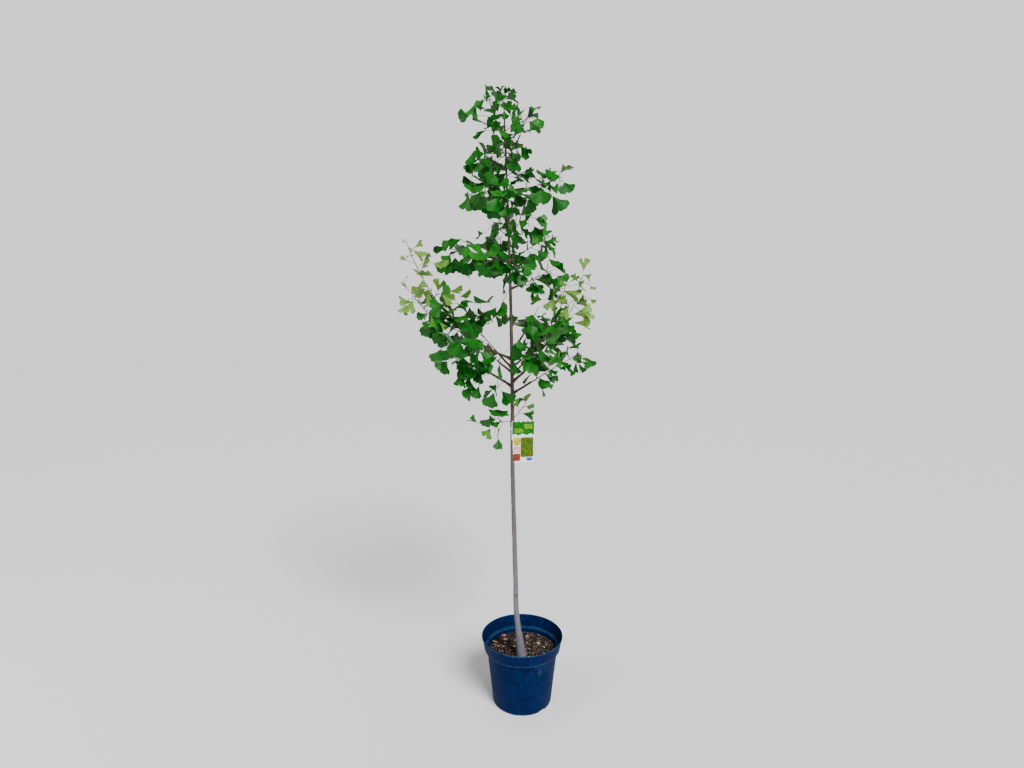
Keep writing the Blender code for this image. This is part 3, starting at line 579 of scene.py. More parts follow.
SHOOTS = tuple(Shoot(*row) for row in (
    ("left_long", 1.190, 172, 0.352, 0.390, 18, 0.0046, 6, 0.040, 12, 0.066, 0.028, 0.45, 11, 0.34, 0.42,
     (Fork(0.14, 183, 0.190, 0.150, 12, 9),)),
    ("left_low", 1.100, 198, 0.215, 0.105, 35, 0.0042, 5, 0.036, 3, 0.068, 0.054, 0.65, 12, 0.36),
    ("left_inner", 1.322, 190, 0.105, 0.020, 12, 0.0024, 2, 0.028, 2, 0.068, 0.058, 0.55, 13),
    ("right_long", 1.115, 12, 0.180, 0.330, 35, 0.0046, 6, 0.038, 8, 0.060, 0.028, 0.40, 14, 0.36, 0.50,
     (Fork(0.20, -4, 0.122, 0.215, 40, 9),)),
    ("right_low", 1.076, -14, 0.225, 0.140, 33, 0.0040, 4, 0.026, 5, 0.044, 0.034, 0.60, 15, 0.30),
    ("right_inner", 1.167, 38, 0.100, 0.105, 15, 0.0034, 3, 0.030, 3, 0.062, 0.048, 0.50, 16, 0.30),
    ("right_thin", 1.318, -22, 0.095, -0.012, -4, 0.0020, 0, 0.025, 3, 0.042, 0.038, 0.50, 17),
    ("right_middle", 1.415, -10, 0.138, 0.060, 22, 0.0030, 3, 0.030, 3, 0.060, 0.045, 0.55, 18, 0.26),
    ("right_rising", 1.502, 14, 0.130, 0.082, 35, 0.0028, 2, 0.026, 3, 0.050, 0.036, 0.35, 19, 0.40),
    ("left_middle", 1.497, 176, 0.185, 0.045, 20, 0.0032, 4, 0.032, 4, 0.066, 0.052, 0.60, 20, 0.36),
    ("left_near", 1.477, 222, 0.105, 0.028, 15, 0.0024, 2, 0.028, 2, 0.066, 0.056, 0.55, 21),
    ("left_rising", 1.585, 150, 0.070, 0.040, 25, 0.0022, 1, 0.026, 3, 0.060, 0.050, 0.45, 22),
    ("right_short", 1.598, -32, 0.062, 0.030, 25, 0.0022, 2, 0.026, 2, 0.054, 0.045, 0.45, 23),
    ("right_high", 1.725, 4, 0.172, 0.042, 3, 0.0028, 3, 0.026, 5, 0.056, 0.036, 0.50, 24, 0.32),
    ("right_hanging", 1.708, -38, 0.070, -0.022, -8, 0.0020, 0, 0.025, 3, 0.056, 0.050, 0.65, 25),
    ("left_high", 1.697, 188, 0.120, 0.022, 18, 0.0028, 3, 0.032, 4, 0.062, 0.048, 0.55, 26, 0.28),
    ("left_upper", 1.785, 168, 0.066, 0.050, 35, 0.0022, 2, 0.030, 3, 0.062, 0.052, 0.45, 27),
    ("right_upper", 1.767, 50, 0.050, 0.035, 30, 0.0020, 1, 0.026, 3, 0.048, 0.042, 0.40, 28),
    ("right_crown", 1.850, -22, 0.045, 0.018, 25, 0.0020, 1, 0.024, 3, 0.062, 0.054, 0.45, 29),
    ("left_tip", 1.885, 190, 0.046, 0.105, 55, 0.0020, 2, 0.022, 6, 0.050, 0.040, 0.15, 30),
    ("right_tip", 1.905, 10, 0.072, 0.040, 35, 0.0020, 2, 0.022, 5, 0.048, 0.040, 0.20, 31),
    ("left_spur", 0.984, 186, 0.070, -0.004, 5, 0.0020, 1, 0.026, 3, 0.056, 0.036, 0.55, 32),
    ("right_spur", 0.992, 20, 0.046, 0.050, 40, 0.0018, 0, 0.022, 4, 0.034, 0.028, 0.30, 33),
    ("front_low", 1.147, 236, 0.190, 0.110, 25, 0.0038, 3, 0.034, 3, 0.064, 0.048, 0.55, 34, 0.40),
    ("front_right", 1.135, 300, 0.165, 0.130, 30, 0.0036, 3, 0.032, 3, 0.062, 0.048, 0.50, 35, 0.40),
    ("back_right", 1.212, 64, 0.220, 0.150, 30, 0.0040, 3, 0.034, 4, 0.062, 0.042, 0.45, 36, 0.42),
    ("back_left", 1.160, 128, 0.215, 0.140, 30, 0.0038, 3, 0.034, 4, 0.064, 0.046, 0.50, 37, 0.42),
    ("front_middle", 1.475, 282, 0.105, 0.005, 15, 0.0028, 2, 0.028, 2, 0.062, 0.052, 0.60, 38, 0.30),
    ("back_middle", 1.430, 82, 0.150, 0.055, 25, 0.0028, 3, 0.030, 3, 0.060, 0.046, 0.50, 39, 0.35),
    ("back_left_middle", 1.540, 118, 0.145, 0.040, 25, 0.0028, 2, 0.030, 3, 0.058, 0.046, 0.50, 40, 0.35),
    ("front_upper", 1.660, 262, 0.080, 0.010, 15, 0.0022, 1, 0.026, 2, 0.056, 0.048, 0.50, 41),
    ("back_upper", 1.680, 92, 0.115, 0.045, 28, 0.0022, 2, 0.028, 3, 0.056, 0.045, 0.45, 42),
    ("back_tip", 1.825, 100, 0.070, 0.045, 30, 0.0020, 2, 0.026, 3, 0.054, 0.044, 0.40, 43),
    ("front_tip", 1.875, 268, 0.055, 0.030, 35, 0.0020, 1, 0.024, 3, 0.050, 0.042, 0.40, 45),
))
LEADER = Shoot("leader", 1.97, 200, 0.010, 0.045, 80, 0.0022, 0, 0.0, 8, 0.042, 0.032, 0.1, 44)

# Sky windows that stay open between the masses, seen from the front at eye height:
# their left, right, bottom and top in the trunk's plane
EYE = Vector((-0.035, -1.90, 1.315))
SKY_WINDOWS = (
    (-0.112, -0.058, 1.215, 1.300),
    (-0.230, -0.062, 1.385, 1.450),
    (-0.020, 0.090, 1.330, 1.400),
    (0.030, 0.125, 1.600, 1.665),
    (-0.230, -0.118, 1.575, 1.650),
    (0.005, 0.150, 1.805, 1.900),
    (-0.230, -0.145, 1.760, 1.925),
    (0.105, 0.260, 1.520, 1.700),
    (-0.240, -0.090, 1.060, 1.115),
)


@dataclass(frozen=True)
class GrowthRule:
    """Numbers of the rule that places limbs, twigs and leaves."""

    trunk_runs: int = 22
    trunk_sides: int = 10
    curve_handle: float = 0.48
    bough_sides: int = 6
    bough_runs: int = 3
    twig_sides: int = 3
    tip_taper: float = 0.35
    twig_radius: float = 0.0022
    twig_tip_radius: float = 0.0015
    fork_share: float = 0.6
    long_stem: float = 0.3
    long_stem_runs: int = 6
    short_stem_runs: int = 3
    stem_lead: float = 0.004
    turn_scatter: float = 0.25
    twig_aim: Triple = (0.55, 0.85, 0.25)
    twig_lengths: Pair = (0.75, 1.15)
    twig_bend: float = 0.12
    twig_end: Pair = (0.86, 0.96)
    twigs_from: float = 0.10
    fork_leaves_from: float = 0.12
    stem_leaves_from: float = 0.3
    first_node: float = 0.6
    last_node: float = 0.985
    young_lift: float = 0.6
    petiole_radius: float = 0.0005
    petiole_keel: float = 1.6
    petiole_share: Pair = (0.25, 0.50)
    petiole_least: float = 0.006
    petiole_aim: Triple = (0.45, 0.9, 0.30)
    petiole_sag: float = 0.35
    leaf_sizes: Pair = (0.84, 1.16)
    axis_scatter: float = 0.22
    facing_up: float = 0.55
    least_bend: float = 0.35
    leaf_tries: int = 14
    root_share: float = 0.35
    lobed_width: float = 0.045
    blade_middle: float = 0.34
    blade_rise: float = 0.012


@dataclass(frozen=True)
class FinerRule:
    """Numbers of the rule that adds finer sprays and leaves within the reach of the masses.

    Shoots whose young leaves are narrower than a width carry younger leaves from a share of
    their length. Spurs stand at a spacing along each limb and in steps on the trunk.
    """

    young_width: float = 0.030
    young_from: float = 0.42
    mostly_young: float = 0.85
    fresh_width: float = 0.038
    fresh_from: float = 0.6
    mostly: float = 0.6
    tone_seed: int = 500
    leaf_seed: int = 900
    bare_above: float = 1.86
    bough_from: float = 0.45
    spacing: float = 0.042
    sparse_from: float = 0.35
    sparse_every: int = 3
    sparse_reach: float = 0.3
    leaf_sizes: Pair = (0.70, 1.08)
    trunk_above: float = 1.40
    trunk_spurs: int = 4
    trunk_step: float = 0.022
    trunk_turn: float = 70.0
    trunk_gap: float = 0.0008
    trunk_sizes: Pair = (0.5, 0.85)
    spray_roots: int = 24
    first_root: int = 7
    downhill: float = 0.4
    end_rising: float = -0.45
    end_hanging: float = 0.35
    arch: float = 0.12
    leafy_share: float = 0.75
    sag: float = 0.4
    droop_rising: float = 0.1
    droop_hanging: float = 0.5
    spray_aim: Triple = (0.85, 0.45, 0.15)
    spray_radii: tuple[float, ...] = (0.0012, 0.0011, 0.0010, 0.0008)


RULE = GrowthRule()
FINER = FinerRule()
SMALL_BLADE = ((0.46, 0.62, 0.05),)
SMALL_NOTCH = (0.0, 0.58, 0.0)
LOBED_BLADE = ((0.50, 0.47, 0.07), (0.29, 0.76, 0.02))
LOBED_NOTCH = (0.0, 0.62, -0.01)
BLADE_SPOTS = ((0.0, 0.35), (0.5, 0.45), (-0.5, 0.45), (0.0, 0.75))


@dataclass(frozen=True)
class TrunkLine:
    """Centre line and radius of the trunk, from its cut on the potting mix to its tip."""

    bends: tuple[Triple, ...] = (
        (0.1803, -0.0027, -0.0400),
        (0.34, -0.0205, -0.0385),
        (0.43, -0.0225, -0.0370),
        (0.84, -0.0334, -0.0290),
        (1.10, -0.0345, -0.0230),
        (1.52, -0.0432, -0.0140),
        (1.97, -0.0600, -0.0060),
    )
    base_radius: float = 0.0093
    top_radius: float = 0.0022
    taper_power: float = 0.85
    flare_radius: float = 0.0085
    flare_height: float = 0.11
    flare_power: float = 1.3

    @property
    def foot(self) -> float:
        """Height of the flat cut."""
        return self.bends[0][0]

    @property
    def top(self) -> float:
        """Height of the tip."""
        return self.bends[-1][0]

    def at(self, height: float) -> Vector:
        """Point on the centre line, on a smooth curve through its bends."""
        bends = [Vector((x, y, z)) for z, x, y in self.bends]
        last = len(bends) - 1
        low = 0
        while low < last - 1 and bends[low + 1].z < height:
            low += 1
        start, end = bends[low], bends[low + 1]
        before = bends[max(low - 1, 0)]
        after = bends[min(low + 2, last)]
        span = end.z - start.z
        leave = (end - before) * (span / (end.z - before.z))
        arrive = (after - start) * (span / (after.z - start.z))
        share = (height - start.z) / span
        square, cube = share ** 2, share ** 3
        point = (
            start * (2 * cube - 3 * square + 1)
            + leave * (cube - 2 * square + share)
            + end * (3 * square - 2 * cube)
            + arrive * (cube - square)
        )
        point.z = height
        return point

    def radius(self, height: float) -> float:
        """Radius with its taper and the flare at its foot."""
        share = min(1.0, (height - self.foot) / (self.top - self.foot))
        taper = blend(self.top_radius, self.base_radius, (1.0 - share) ** self.taper_power)
        left = max(0.0, 1.0 - (height - self.foot) / self.flare_height)
        return taper + self.flare_radius * left ** self.flare_power


TRUNK = TrunkLine()


@dataclass(frozen=True)
class Leaf:
    """A leaf by its petiole's root, and its blade's place, frame, width and age."""

    root: Vector
    base: Vector
    axis: Vector
    normal: Vector
    width: float
    tone: Tone


def in_window(place: Vector) -> bool:
    """True where a place is seen in one of the sky windows."""
    share = EYE.y / (EYE.y - place.y)
    seen = EYE + (place - EYE) * share
    return any(left < seen.x < right and low < seen.z < high for left, right, low, high in SKY_WINDOWS)


def leaf_reach(leaf: Leaf) -> list[Vector]:
    """Middle and outer corners of a leaf's blade."""
    across = leaf.axis.cross(leaf.normal)
    return [leaf.base + (across * x + leaf.axis * y) * leaf.width for x, y in BLADE_SPOTS]


def limb_shell(points: Points, radii: Sequence[float], sides: int) -> Shell:
    """Plain closed limb along a line of points.

    Args:
        points: Its centre line.
        radii: Its radius at each point.
        sides: Its number of sides.

    Returns:
        Its corners and faces.
    """
    corners = []
    tangent = (points[1] - points[0]).normalized()
    side = tangent.orthogonal().normalized()
    for index, (point, radius) in enumerate(zip(points, radii)):
        ahead = points[min(index + 1, len(points) - 1)]
        behind = points[max(index - 1, 0)]
        onward = (ahead - behind).normalized()
        side = tangent.rotation_difference(onward) @ side
        tangent = onward
        side = (side - tangent * side.dot(tangent)).normalized()
        other = tangent.cross(side)
        for step in range(sides):
            angle = math.tau * step / sides
            corners.append(point + (side * math.sin(angle) + other * math.cos(angle)) * radius)
    faces = [tuple(range(sides)), tuple(range(len(corners) - sides, len(corners)))]
    for low in range(0, len(corners) - sides, sides):
        for step in range(sides):
            after = (step + 1) % sides
            faces.append((low + step, low + after, low + sides + after, low + sides + step))
    return corners, faces


def leaf_shell(leaf: Leaf, root_share: float = 0.0) -> Shell:
    """Plain closed leaf, without a first share of its petiole.

    Args:
        leaf: The leaf.
        root_share: The share of its petiole to leave out.

    Returns:
        Its corners and faces.
    """
    across = leaf.axis.cross(leaf.normal).normalized()
    root = leaf.root.lerp(leaf.base, root_share)
    size = leaf.width

    def place(x: float, y: float, z: float) -> Vector:
        """Point of the blade, across, along and above it."""
        return leaf.base + across * x + leaf.axis * y + leaf.normal * z

    thin = RULE.petiole_radius
    stalk = [(thin, 0.0, 0.0), (-thin, 0.0, 0.0), (0.0, 0.0, -RULE.petiole_keel * thin)]
    foot = [place(*corner) - leaf.base + root for corner in stalk]
    neck = [place(*corner) for corner in stalk]
    lobed = size >= RULE.lobed_width
    half, notch = (LOBED_BLADE, LOBED_NOTCH) if lobed else (SMALL_BLADE, SMALL_NOTCH)
    right = [place(x * size, y * size, z * size) for x, y, z in half]
    left = [place(-x * size, y * size, z * size) for x, y, z in reversed(half)]
    rim = right + [place(*(value * size for value in notch))] + left
    corners = foot + neck + rim + [place(0.0, RULE.blade_middle * size, RULE.blade_rise * size)]
    crown = len(corners) - 1
    edge = [3, *range(6, crown), 4]
    faces = [(0, 1, 2), (4, 3, crown)]
    for first, second in zip(edge, edge[1:]):
        faces.append((first, second, crown))
        faces.append((second, first, 5))
    for index in range(3):
        after = (index + 1) % 3
        faces.append((3 + index, 3 + after, after, index))
    return corners, faces


def shoot_curve(start: Vector, reach: float, rise: float, bearing: float, climb: float) -> Curve:
    """Quadratic curve of a shoot."""
    end = start + heading(bearing, 0.0) * reach + UP * rise
    control = start + heading(bearing, climb) * (end - start).length * RULE.curve_handle

    def point(share: float) -> Vector:
        """Point at a share of its length."""
        return start.lerp(control, share).lerp(control.lerp(end, share), share)

    return point


def limb_points(curve: Curve, start: float, end: float, rings: int) -> list[Vector]:
    """Even points along a stretch of a curve."""
    return [curve(blend(start, end, step / rings)) for step in range(rings + 1)]


def along(points: Points, share: float) -> tuple[Vector, Vector]:
    """Place and direction at a share of a limb, on the straight runs between its points."""
    runs = len(points) - 1
    run = min(int(share * runs), runs - 1)
    way = points[run + 1] - points[run]
    return points[run] + way * (share * runs - run), way.normalized()


@dataclass(frozen=True)
class Standing:
    """Search tree of a shape, with its middle and outer radius."""

    tree: BVHTree
    middle: Vector
    radius: float

    @classmethod
    def of(cls, shell: Shell) -> "Standing":
        """Search tree of a shell."""
        corners, faces = shell
        middle = sum(corners, Vector()) / len(corners)
        radius = max((corner - middle).length for corner in corners)
        return cls(BVHTree.FromPolygons(corners, faces), middle, radius)

    def touches(self, other: "Standing") -> bool:
        """True where the two shapes meet."""
        if (self.middle - other.middle).length >= self.radius + other.radius:
            return False
        return bool(self.tree.overlap(other.tree))


class Crown:
    """Collects the limbs and leaves and keeps each clear of the others."""

    def __init__(self) -> None:
        """Start with nothing standing."""
        self.shapes: list[tuple[str, Standing]] = []

    def clear(self, whole: Standing, outer: Standing, owner: str) -> bool:
        """Tell whether a shape touches nothing that already stands."""
        return not any((outer if owner == other else whole).touches(shape) for other, shape in self.shapes)

    def keep(self, shape: Standing, owner: str) -> None:
        """Remember a shape and whose it is."""
        self.shapes.append((owner, shape))


class Mass:
    """One mass of foliage: its stems, twigs, spurs and leaves."""

    def __init__(self, shoot: Shoot, crown: Crown) -> None:
        """Start a mass with its own seeded draws."""
        self.shoot = shoot
        self.crown = crown
        self.rng = random.Random(shoot.seed)
        self.twist = self.rng.uniform(0.0, math.tau)
        self.tones = random.Random(shoot.seed + FINER.tone_seed)
        self.tone = DEEP
        self.bough: Line | None = None
        self.stems: list[Line] = []
        self.twigs: list[Line] = []
        self.leaves: list[Leaf] = []
        self.nodes: list[tuple[Vector, Vector]] = []
        self.minds_windows = True
        self.fork_leaves: list[int] = []
        self.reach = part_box("foliage_" + shoot.name)

    @property
    def limbs(self) -> list[Line]:
        """The stems and then the twigs."""
        return [*self.stems, *self.twigs]

    def add_stem(self, points: list[Vector], radius: float) -> None:
        """Tapering stem along a line of points."""
        runs = len(points) - 1
        tapers = [blend(1.0, RULE.tip_taper, step / runs) for step in range(runs + 1)]
        radii = [max(RULE.twig_tip_radius, radius * taper) for taper in tapers]
        self.stems.append((points, radii))
        self.crown.keep(Standing.of(limb_shell(points, radii, RULE.twig_sides)), self.shoot.name)

    def sideways(self, forward: Vector) -> Vector:
        """Next direction round a twig, a golden angle on from the last."""
        self.twist += GOLDEN_ANGLE + self.rng.uniform(-RULE.turn_scatter, RULE.turn_scatter)
        side = forward.orthogonal().normalized()
        return Matrix.Rotation(self.twist, 3, forward) @ side

    def add_leaf(self, node: Vector, forward: Vector, width: float, droop: float,
                 aim: Triple = RULE.petiole_aim) -> bool:
        """Try a leaf at a node of a twig in a few directions, and keep the first that is clear.

        Args:
            node: The petiole's root.
            forward: The twig's direction.
            width: The blade's width.
            droop: How far it hangs, from 0 to 1.
            aim: How far its petiole points ahead, aside and up.

        Returns:
            True where a leaf was placed.
        """
        rng = self.rng
        ahead, aside, above = aim
        for _ in range(RULE.leaf_tries):
            side = self.sideways(forward)
            size = width * rng.uniform(*RULE.leaf_sizes)
            stalk = (forward * ahead + side * aside + UP * (above - RULE.petiole_sag * droop)).normalized()
            length = size * rng.uniform(*RULE.petiole_share) + RULE.petiole_least
            base = node + stalk * length
            axis = (stalk * (1.0 - droop) - UP * droop + random_unit(rng) * RULE.axis_scatter).normalized()
            axis = (axis + stalk * max(0.0, RULE.least_bend - axis.dot(stalk))).normalized()
            facing = UP * RULE.facing_up + random_unit(rng) + stalk * droop
            normal = (facing - axis * facing.dot(axis)).normalized()
            leaf = Leaf(node, base, axis, normal, size, self.tone)
            if self.minds_windows and any(in_window(place) for place in leaf_reach(leaf)):
                continue
            whole = Standing.of(leaf_shell(leaf))
            outer = Standing.of(leaf_shell(leaf, RULE.root_share))
            if self.crown.clear(whole, outer, self.shoot.name):
                self.leaves.append(leaf)
                self.nodes.append((node, stalk))
                self.crown.keep(whole, self.shoot.name)
                return True
        return False

    def add_twig(self, node: Vector, forward: Vector, length: float, leaf_width: float) -> None:
        """Side twig with a leaf on its way and two at its end.

        Args:
            node: Its root on the stem.
            forward: The stem's direction.
            length: Its length.
            leaf_width: The width of its leaves.
        """
        rng = self.rng
        ahead, aside, above = RULE.twig_aim
        for _ in range(RULE.leaf_tries):
            side = self.sideways(forward)
            way = (forward * ahead + side * aside + UP * above).normalized()
            reach = length * rng.uniform(*RULE.twig_lengths)
            points = [node, node + way * reach * 0.5, node + (way + UP * RULE.twig_bend).normalized() * reach]
            if in_window(points[2]):
                continue
            middle = blend(RULE.twig_radius, RULE.twig_tip_radius, 0.5)
            radii = [RULE.twig_radius, middle, RULE.twig_tip_radius]
            whole = Standing.of(limb_shell(points, radii, RULE.twig_sides))
            root = points[0].lerp(points[1], RULE.root_share)
            outer = Standing.of(limb_shell([root, points[1], points[2]], radii, RULE.twig_sides))
            if self.crown.clear(whole, outer, self.shoot.name):
                break
        else:
            return
        self.twigs.append((points, radii))
        self.crown.keep(whole, self.shoot.name)
        onward = (points[2] - points[1]).normalized()
        self.add_leaf(points[1], onward, leaf_width, self.shoot.droop)
        for _ in range(2):
            place = points[1].lerp(points[2], rng.uniform(*RULE.twig_end))
            self.add_leaf(place, onward, leaf_width, self.shoot.droop)

    def deal_tone(self, share: float) -> None:
        """Choose the next spray's age of leaf, younger towards the tip of a long shoot."""
        draw = self.tones.random()
        if self.shoot.young < FINER.young_width and share > FINER.young_from:
            self.tone = YOUNG if draw < FINER.mostly_young else FRESH
        elif self.shoot.young < FINER.fresh_width and share > FINER.fresh_from:
            self.tone = FRESH if draw < FINER.mostly else MID
        else:
            self.tone = DEEP if draw < FINER.mostly else MID

    def clothe(self, stem: Points, start: float, on_stem: int) -> None:
        """Leaves along a stem to its tip, smaller and more upright on the way."""
        shoot = self.shoot
        for index in range(on_stem):
            share = min((index + RULE.first_node) / on_stem, RULE.last_node)
            node, forward = along(stem, blend(start, 1.0, share))
            width = blend(shoot.leaf, shoot.young, share)
            self.deal_tone(share)
            self.add_leaf(node, forward, width, shoot.droop * (1.0 - RULE.young_lift * share))

    def add_stems(self, stem: list[Vector], radius: float) -> None:
        """Main stem and its forks, before any mass has its twigs and leaves."""
        self.add_stem(stem, radius)
        for fork in self.shoot.forks:
            root, _ = along(stem, fork.at)
            branch = shoot_curve(root, fork.reach, fork.rise, fork.bearing, fork.climb)
            self.add_stem(limb_points(branch, 0.0, 1.0, RULE.short_stem_runs), radius * RULE.fork_share)
            self.fork_leaves.append(fork.on_stem)

    def grow(self) -> None:
        """Twigs and leaves on the stems, as the solids have them."""
        shoot = self.shoot
        for (points, _), on_stem in zip(self.stems[1:], self.fork_leaves):
            self.clothe(points, RULE.fork_leaves_from, on_stem)
        main = self.stems[0][0]
        for index in range(shoot.twigs):
            share = (index + 0.5) / shoot.twigs
            node, forward = along(main, blend(RULE.twigs_from, shoot.bushy, share))
            self.deal_tone(0.0)
            self.add_twig(node, forward, shoot.twig_length, shoot.leaf)
        self.clothe(main, RULE.stem_leaves_from * shoot.bushy, shoot.on_stem)

    def add_fine_leaf(self, node: Vector, forward: Vector, width: float, droop: float,
                      box: tuple[Vector, Vector], aim: Triple = RULE.petiole_aim) -> None:
        """Add a leaf at a node, unless it would leave a box."""
        if not self.add_leaf(node, forward, width, droop, aim):
            return
        low, high = box
        tips = leaf_reach(self.leaves[-1])
        if not all(low[axis] < tip[axis] < high[axis] for tip in tips for axis in range(3)):
            self.leaves.pop()
            self.nodes.pop()
            self.crown.shapes.pop()

    def add_finer(self) -> None:
        """Finer leaves on short spurs along every limb, and on the trunk where the mass is by it."""
        shoot = self.shoot
        if shoot.height > FINER.bare_above:
            return
        self.rng = random.Random(shoot.seed + FINER.leaf_seed)
        limbs = [(points, 0.0) for points, _ in self.limbs]
        if self.bough is not None:
            limbs.insert(0, (self.bough[0], FINER.bough_from))
        for points, start in limbs:
            length = sum((after - before).length for before, after in zip(points, points[1:]))
            count = int(length * (1.0 - start) / FINER.spacing)
            for index in range(count):
                share = blend(start, 1.0, (index + 0.5) / count)
                node, forward = along(points, share)
                self.deal_tone(share)
                sparse = shoot.young < FINER.young_width and share > FINER.sparse_from
                if sparse and (index % FINER.sparse_every or shoot.reach > FINER.sparse_reach):
                    continue
                width = blend(shoot.leaf, shoot.young, share) * self.rng.uniform(*FINER.leaf_sizes)
                self.add_fine_leaf(node, forward, width, shoot.droop * (1.0 - share), self.reach)
        if shoot.height > FINER.trunk_above:
            self.add_trunk_spurs()

    def add_trunk_spurs(self) -> None:
        """Finer leaves on the trunk, round the root of the mass."""
        shoot = self.shoot
        for step in range(FINER.trunk_spurs):
            height = min(shoot.height + FINER.trunk_step * (step - 1.5), TRUNK.top - 0.01)
            way = heading(shoot.bearing + self.rng.uniform(-FINER.trunk_turn, FINER.trunk_turn), 0.0)
            node = TRUNK.at(height) + way * (TRUNK.radius(height) + FINER.trunk_gap)
            self.deal_tone(0.0)
            width = shoot.leaf * self.rng.uniform(*FINER.trunk_sizes)
            self.add_fine_leaf(node, way, width, shoot.droop, self.reach)

    def spray_line(self, end: Vector, width: float) -> tuple[list[Vector], bool]:
        """Arched line from the nearest limb to just short of a place, and whether it rises."""
        limbs = [points for points, _ in self.stems]
        if self.bough is not None:
            limbs.append(self.bough[0])
        steps = range(FINER.first_root, FINER.spray_roots + 1)
        spots = [along(points, step / FINER.spray_roots)[0] for points in limbs for step in steps]
        root = min(spots, key=lambda spot: (spot - end).length + FINER.downhill * max(0.0, spot.z - end.z))
        rising = end.z > root.z
        end = end + UP * width * (FINER.end_rising if rising else FINER.end_hanging)
        lift = FINER.arch * (end - root).length
        return [root, root.lerp(end, 0.35) + UP * lift, root.lerp(end, 0.7) + UP * lift * 0.8, end], rising

    def add_spray(self, end: Vector, leaves: int, width: float, tone: Tone) -> None:
        """Fine twig from the nearest limb to a place, with leaves along it and at its end.

        Args:
            end: The place.
            leaves: Number of leaves.
            width: Their width.
            tone: Their age.
        """
        self.rng = random.Random(self.shoot.seed + int(abs(end.z) * 10000.0))
        points, rising = self.spray_line(end, width)
        droop = FINER.droop_rising if rising else FINER.droop_hanging
        self.tone = tone
        self.minds_windows = False
        before = len(self.leaves)
        for index in range(leaves):
            node, forward = along(points, 1.0 - FINER.leafy_share * index / leaves)
            if not rising:
                forward = (forward - UP * FINER.sag).normalized()
            self.add_fine_leaf(node, forward, width, droop, WHOLE_BOX, FINER.spray_aim)
        self.minds_windows = True
        if len(self.leaves) > before:
            self.twigs.append((points, list(FINER.spray_radii)))


# Finer sprays of each mass: place in millimetres, number of leaves, their width in
# millimetres and their age
SPRAYS = {
    "right_long": (
        (192, -20, 1472, 1, 34, YOUNG), (208, -20, 1447, 1, 30, YOUNG), (187, -10, 1435, 1, 36, YOUNG),
        (201, -10, 1406, 1, 34, YOUNG), (154, -30, 1389, 2, 38, YOUNG), (184, -20, 1361, 2, 36, YOUNG),
        (149, -40, 1439, 1, 38, FRESH), (101, -50, 1413, 1, 34, FRESH), (140, -50, 1316, 2, 46, MID),
        (106, -20, 1421, 1, 40, YOUNG), (83, -30, 1399, 1, 40, FRESH), (165, -10, 1380, 1, 40, YOUNG),
        (180, -20, 1456, 1, 36, YOUNG),
    ),
    "right_low": (
        (178, -60, 1212, 3, 40, DEEP), (124, -60, 1164, 2, 40, DEEP), (58, -50, 1105, 2, 36, MID),
    ),
    "left_long": (
        (-315, -20, 1547, 1, 36, YOUNG), (-289, -10, 1514, 1, 38, YOUNG), (-302, -30, 1471, 1, 38, YOUNG),
        (-255, -10, 1419, 1, 36, YOUNG), (-220, 0, 1397, 1, 38, FRESH), (-374, -40, 1442, 1, 30, YOUNG),
        (-350, -40, 1408, 1, 36, YOUNG), (-323, -50, 1388, 1, 38, YOUNG), (-365, -30, 1370, 1, 36, YOUNG),
        (-297, -60, 1360, 2, 42, FRESH), (-358, -30, 1558, 1, 36, YOUNG), (-357, -20, 1535, 1, 36, YOUNG),
        (-281, -40, 1344, 1, 42, FRESH), (-243, -30, 1361, 1, 42, FRESH), (-202, -30, 1345, 1, 44, MID),
        (-271, -30, 1414, 1, 38, YOUNG),
    ),
    "left_low": (
        (-190, -80, 1146, 2, 40, MID), (-147, -70, 1101, 2, 54, DEEP), (-83, -60, 1080, 2, 58, DEEP),
        (-119, -50, 1137, 3, 54, DEEP), (-166, -60, 1125, 2, 46, MID), (-80, -60, 1132, 2, 56, DEEP),
    ),
    "left_tip": (
        (-106, -30, 2011, 1, 38, MID), (-124, -40, 1975, 2, 40, MID), (-137, -30, 1928, 1, 50, DEEP),
        (-93, -50, 1913, 2, 38, DEEP),
    ),
    "right_tip": (
        (18, -20, 1979, 1, 38, MID), (27, -30, 1925, 2, 38, MID), (-17, -40, 1954, 2, 36, MID),
    ),
    "leader": ((-60, -30, 1984, 2, 36, MID),),
    "right_crown": (
        (-23, -40, 1878, 1, 58, DEEP), (-16, -30, 1842, 2, 42, DEEP),
    ),
    "left_upper": (
        (-131, -40, 1848, 2, 54, DEEP), (-150, -30, 1812, 2, 60, DEEP), (-112, -60, 1798, 2, 56, DEEP),
    ),
    "right_upper": ((-22, -10, 1796, 3, 46, DEEP),),
    "left_high": (
        (-165, -50, 1717, 2, 60, MID), (-118, -70, 1686, 3, 60, DEEP),
    ),
    "right_high": (
        (117, -10, 1768, 2, 38, MID), (88, -20, 1769, 1, 30, MID), (65, -40, 1707, 2, 64, DEEP),
        (56, -30, 1748, 2, 40, MID),
    ),
    "right_hanging": ((9, -40, 1670, 2, 58, DEEP),),
    "right_short": ((18, -50, 1620, 2, 46, MID),),
    "left_rising": ((-108, -30, 1623, 2, 46, DEEP),),
    "right_rising": (
        (80, -10, 1602, 2, 46, MID), (53, -40, 1566, 2, 50, DEEP),
    ),
    "right_middle": (
        (28, -40, 1408, 2, 46, DEEP), (73, -30, 1418, 1, 42, MID),
    ),
    "left_inner": (
        (-57, -50, 1410, 2, 52, DEEP), (-102, -50, 1363, 2, 56, DEEP),
    ),
    "left_spur": (
        (-132, -50, 1001, 1, 44, DEEP), (-87, -50, 935, 1, 42, DEEP),
    ),
}


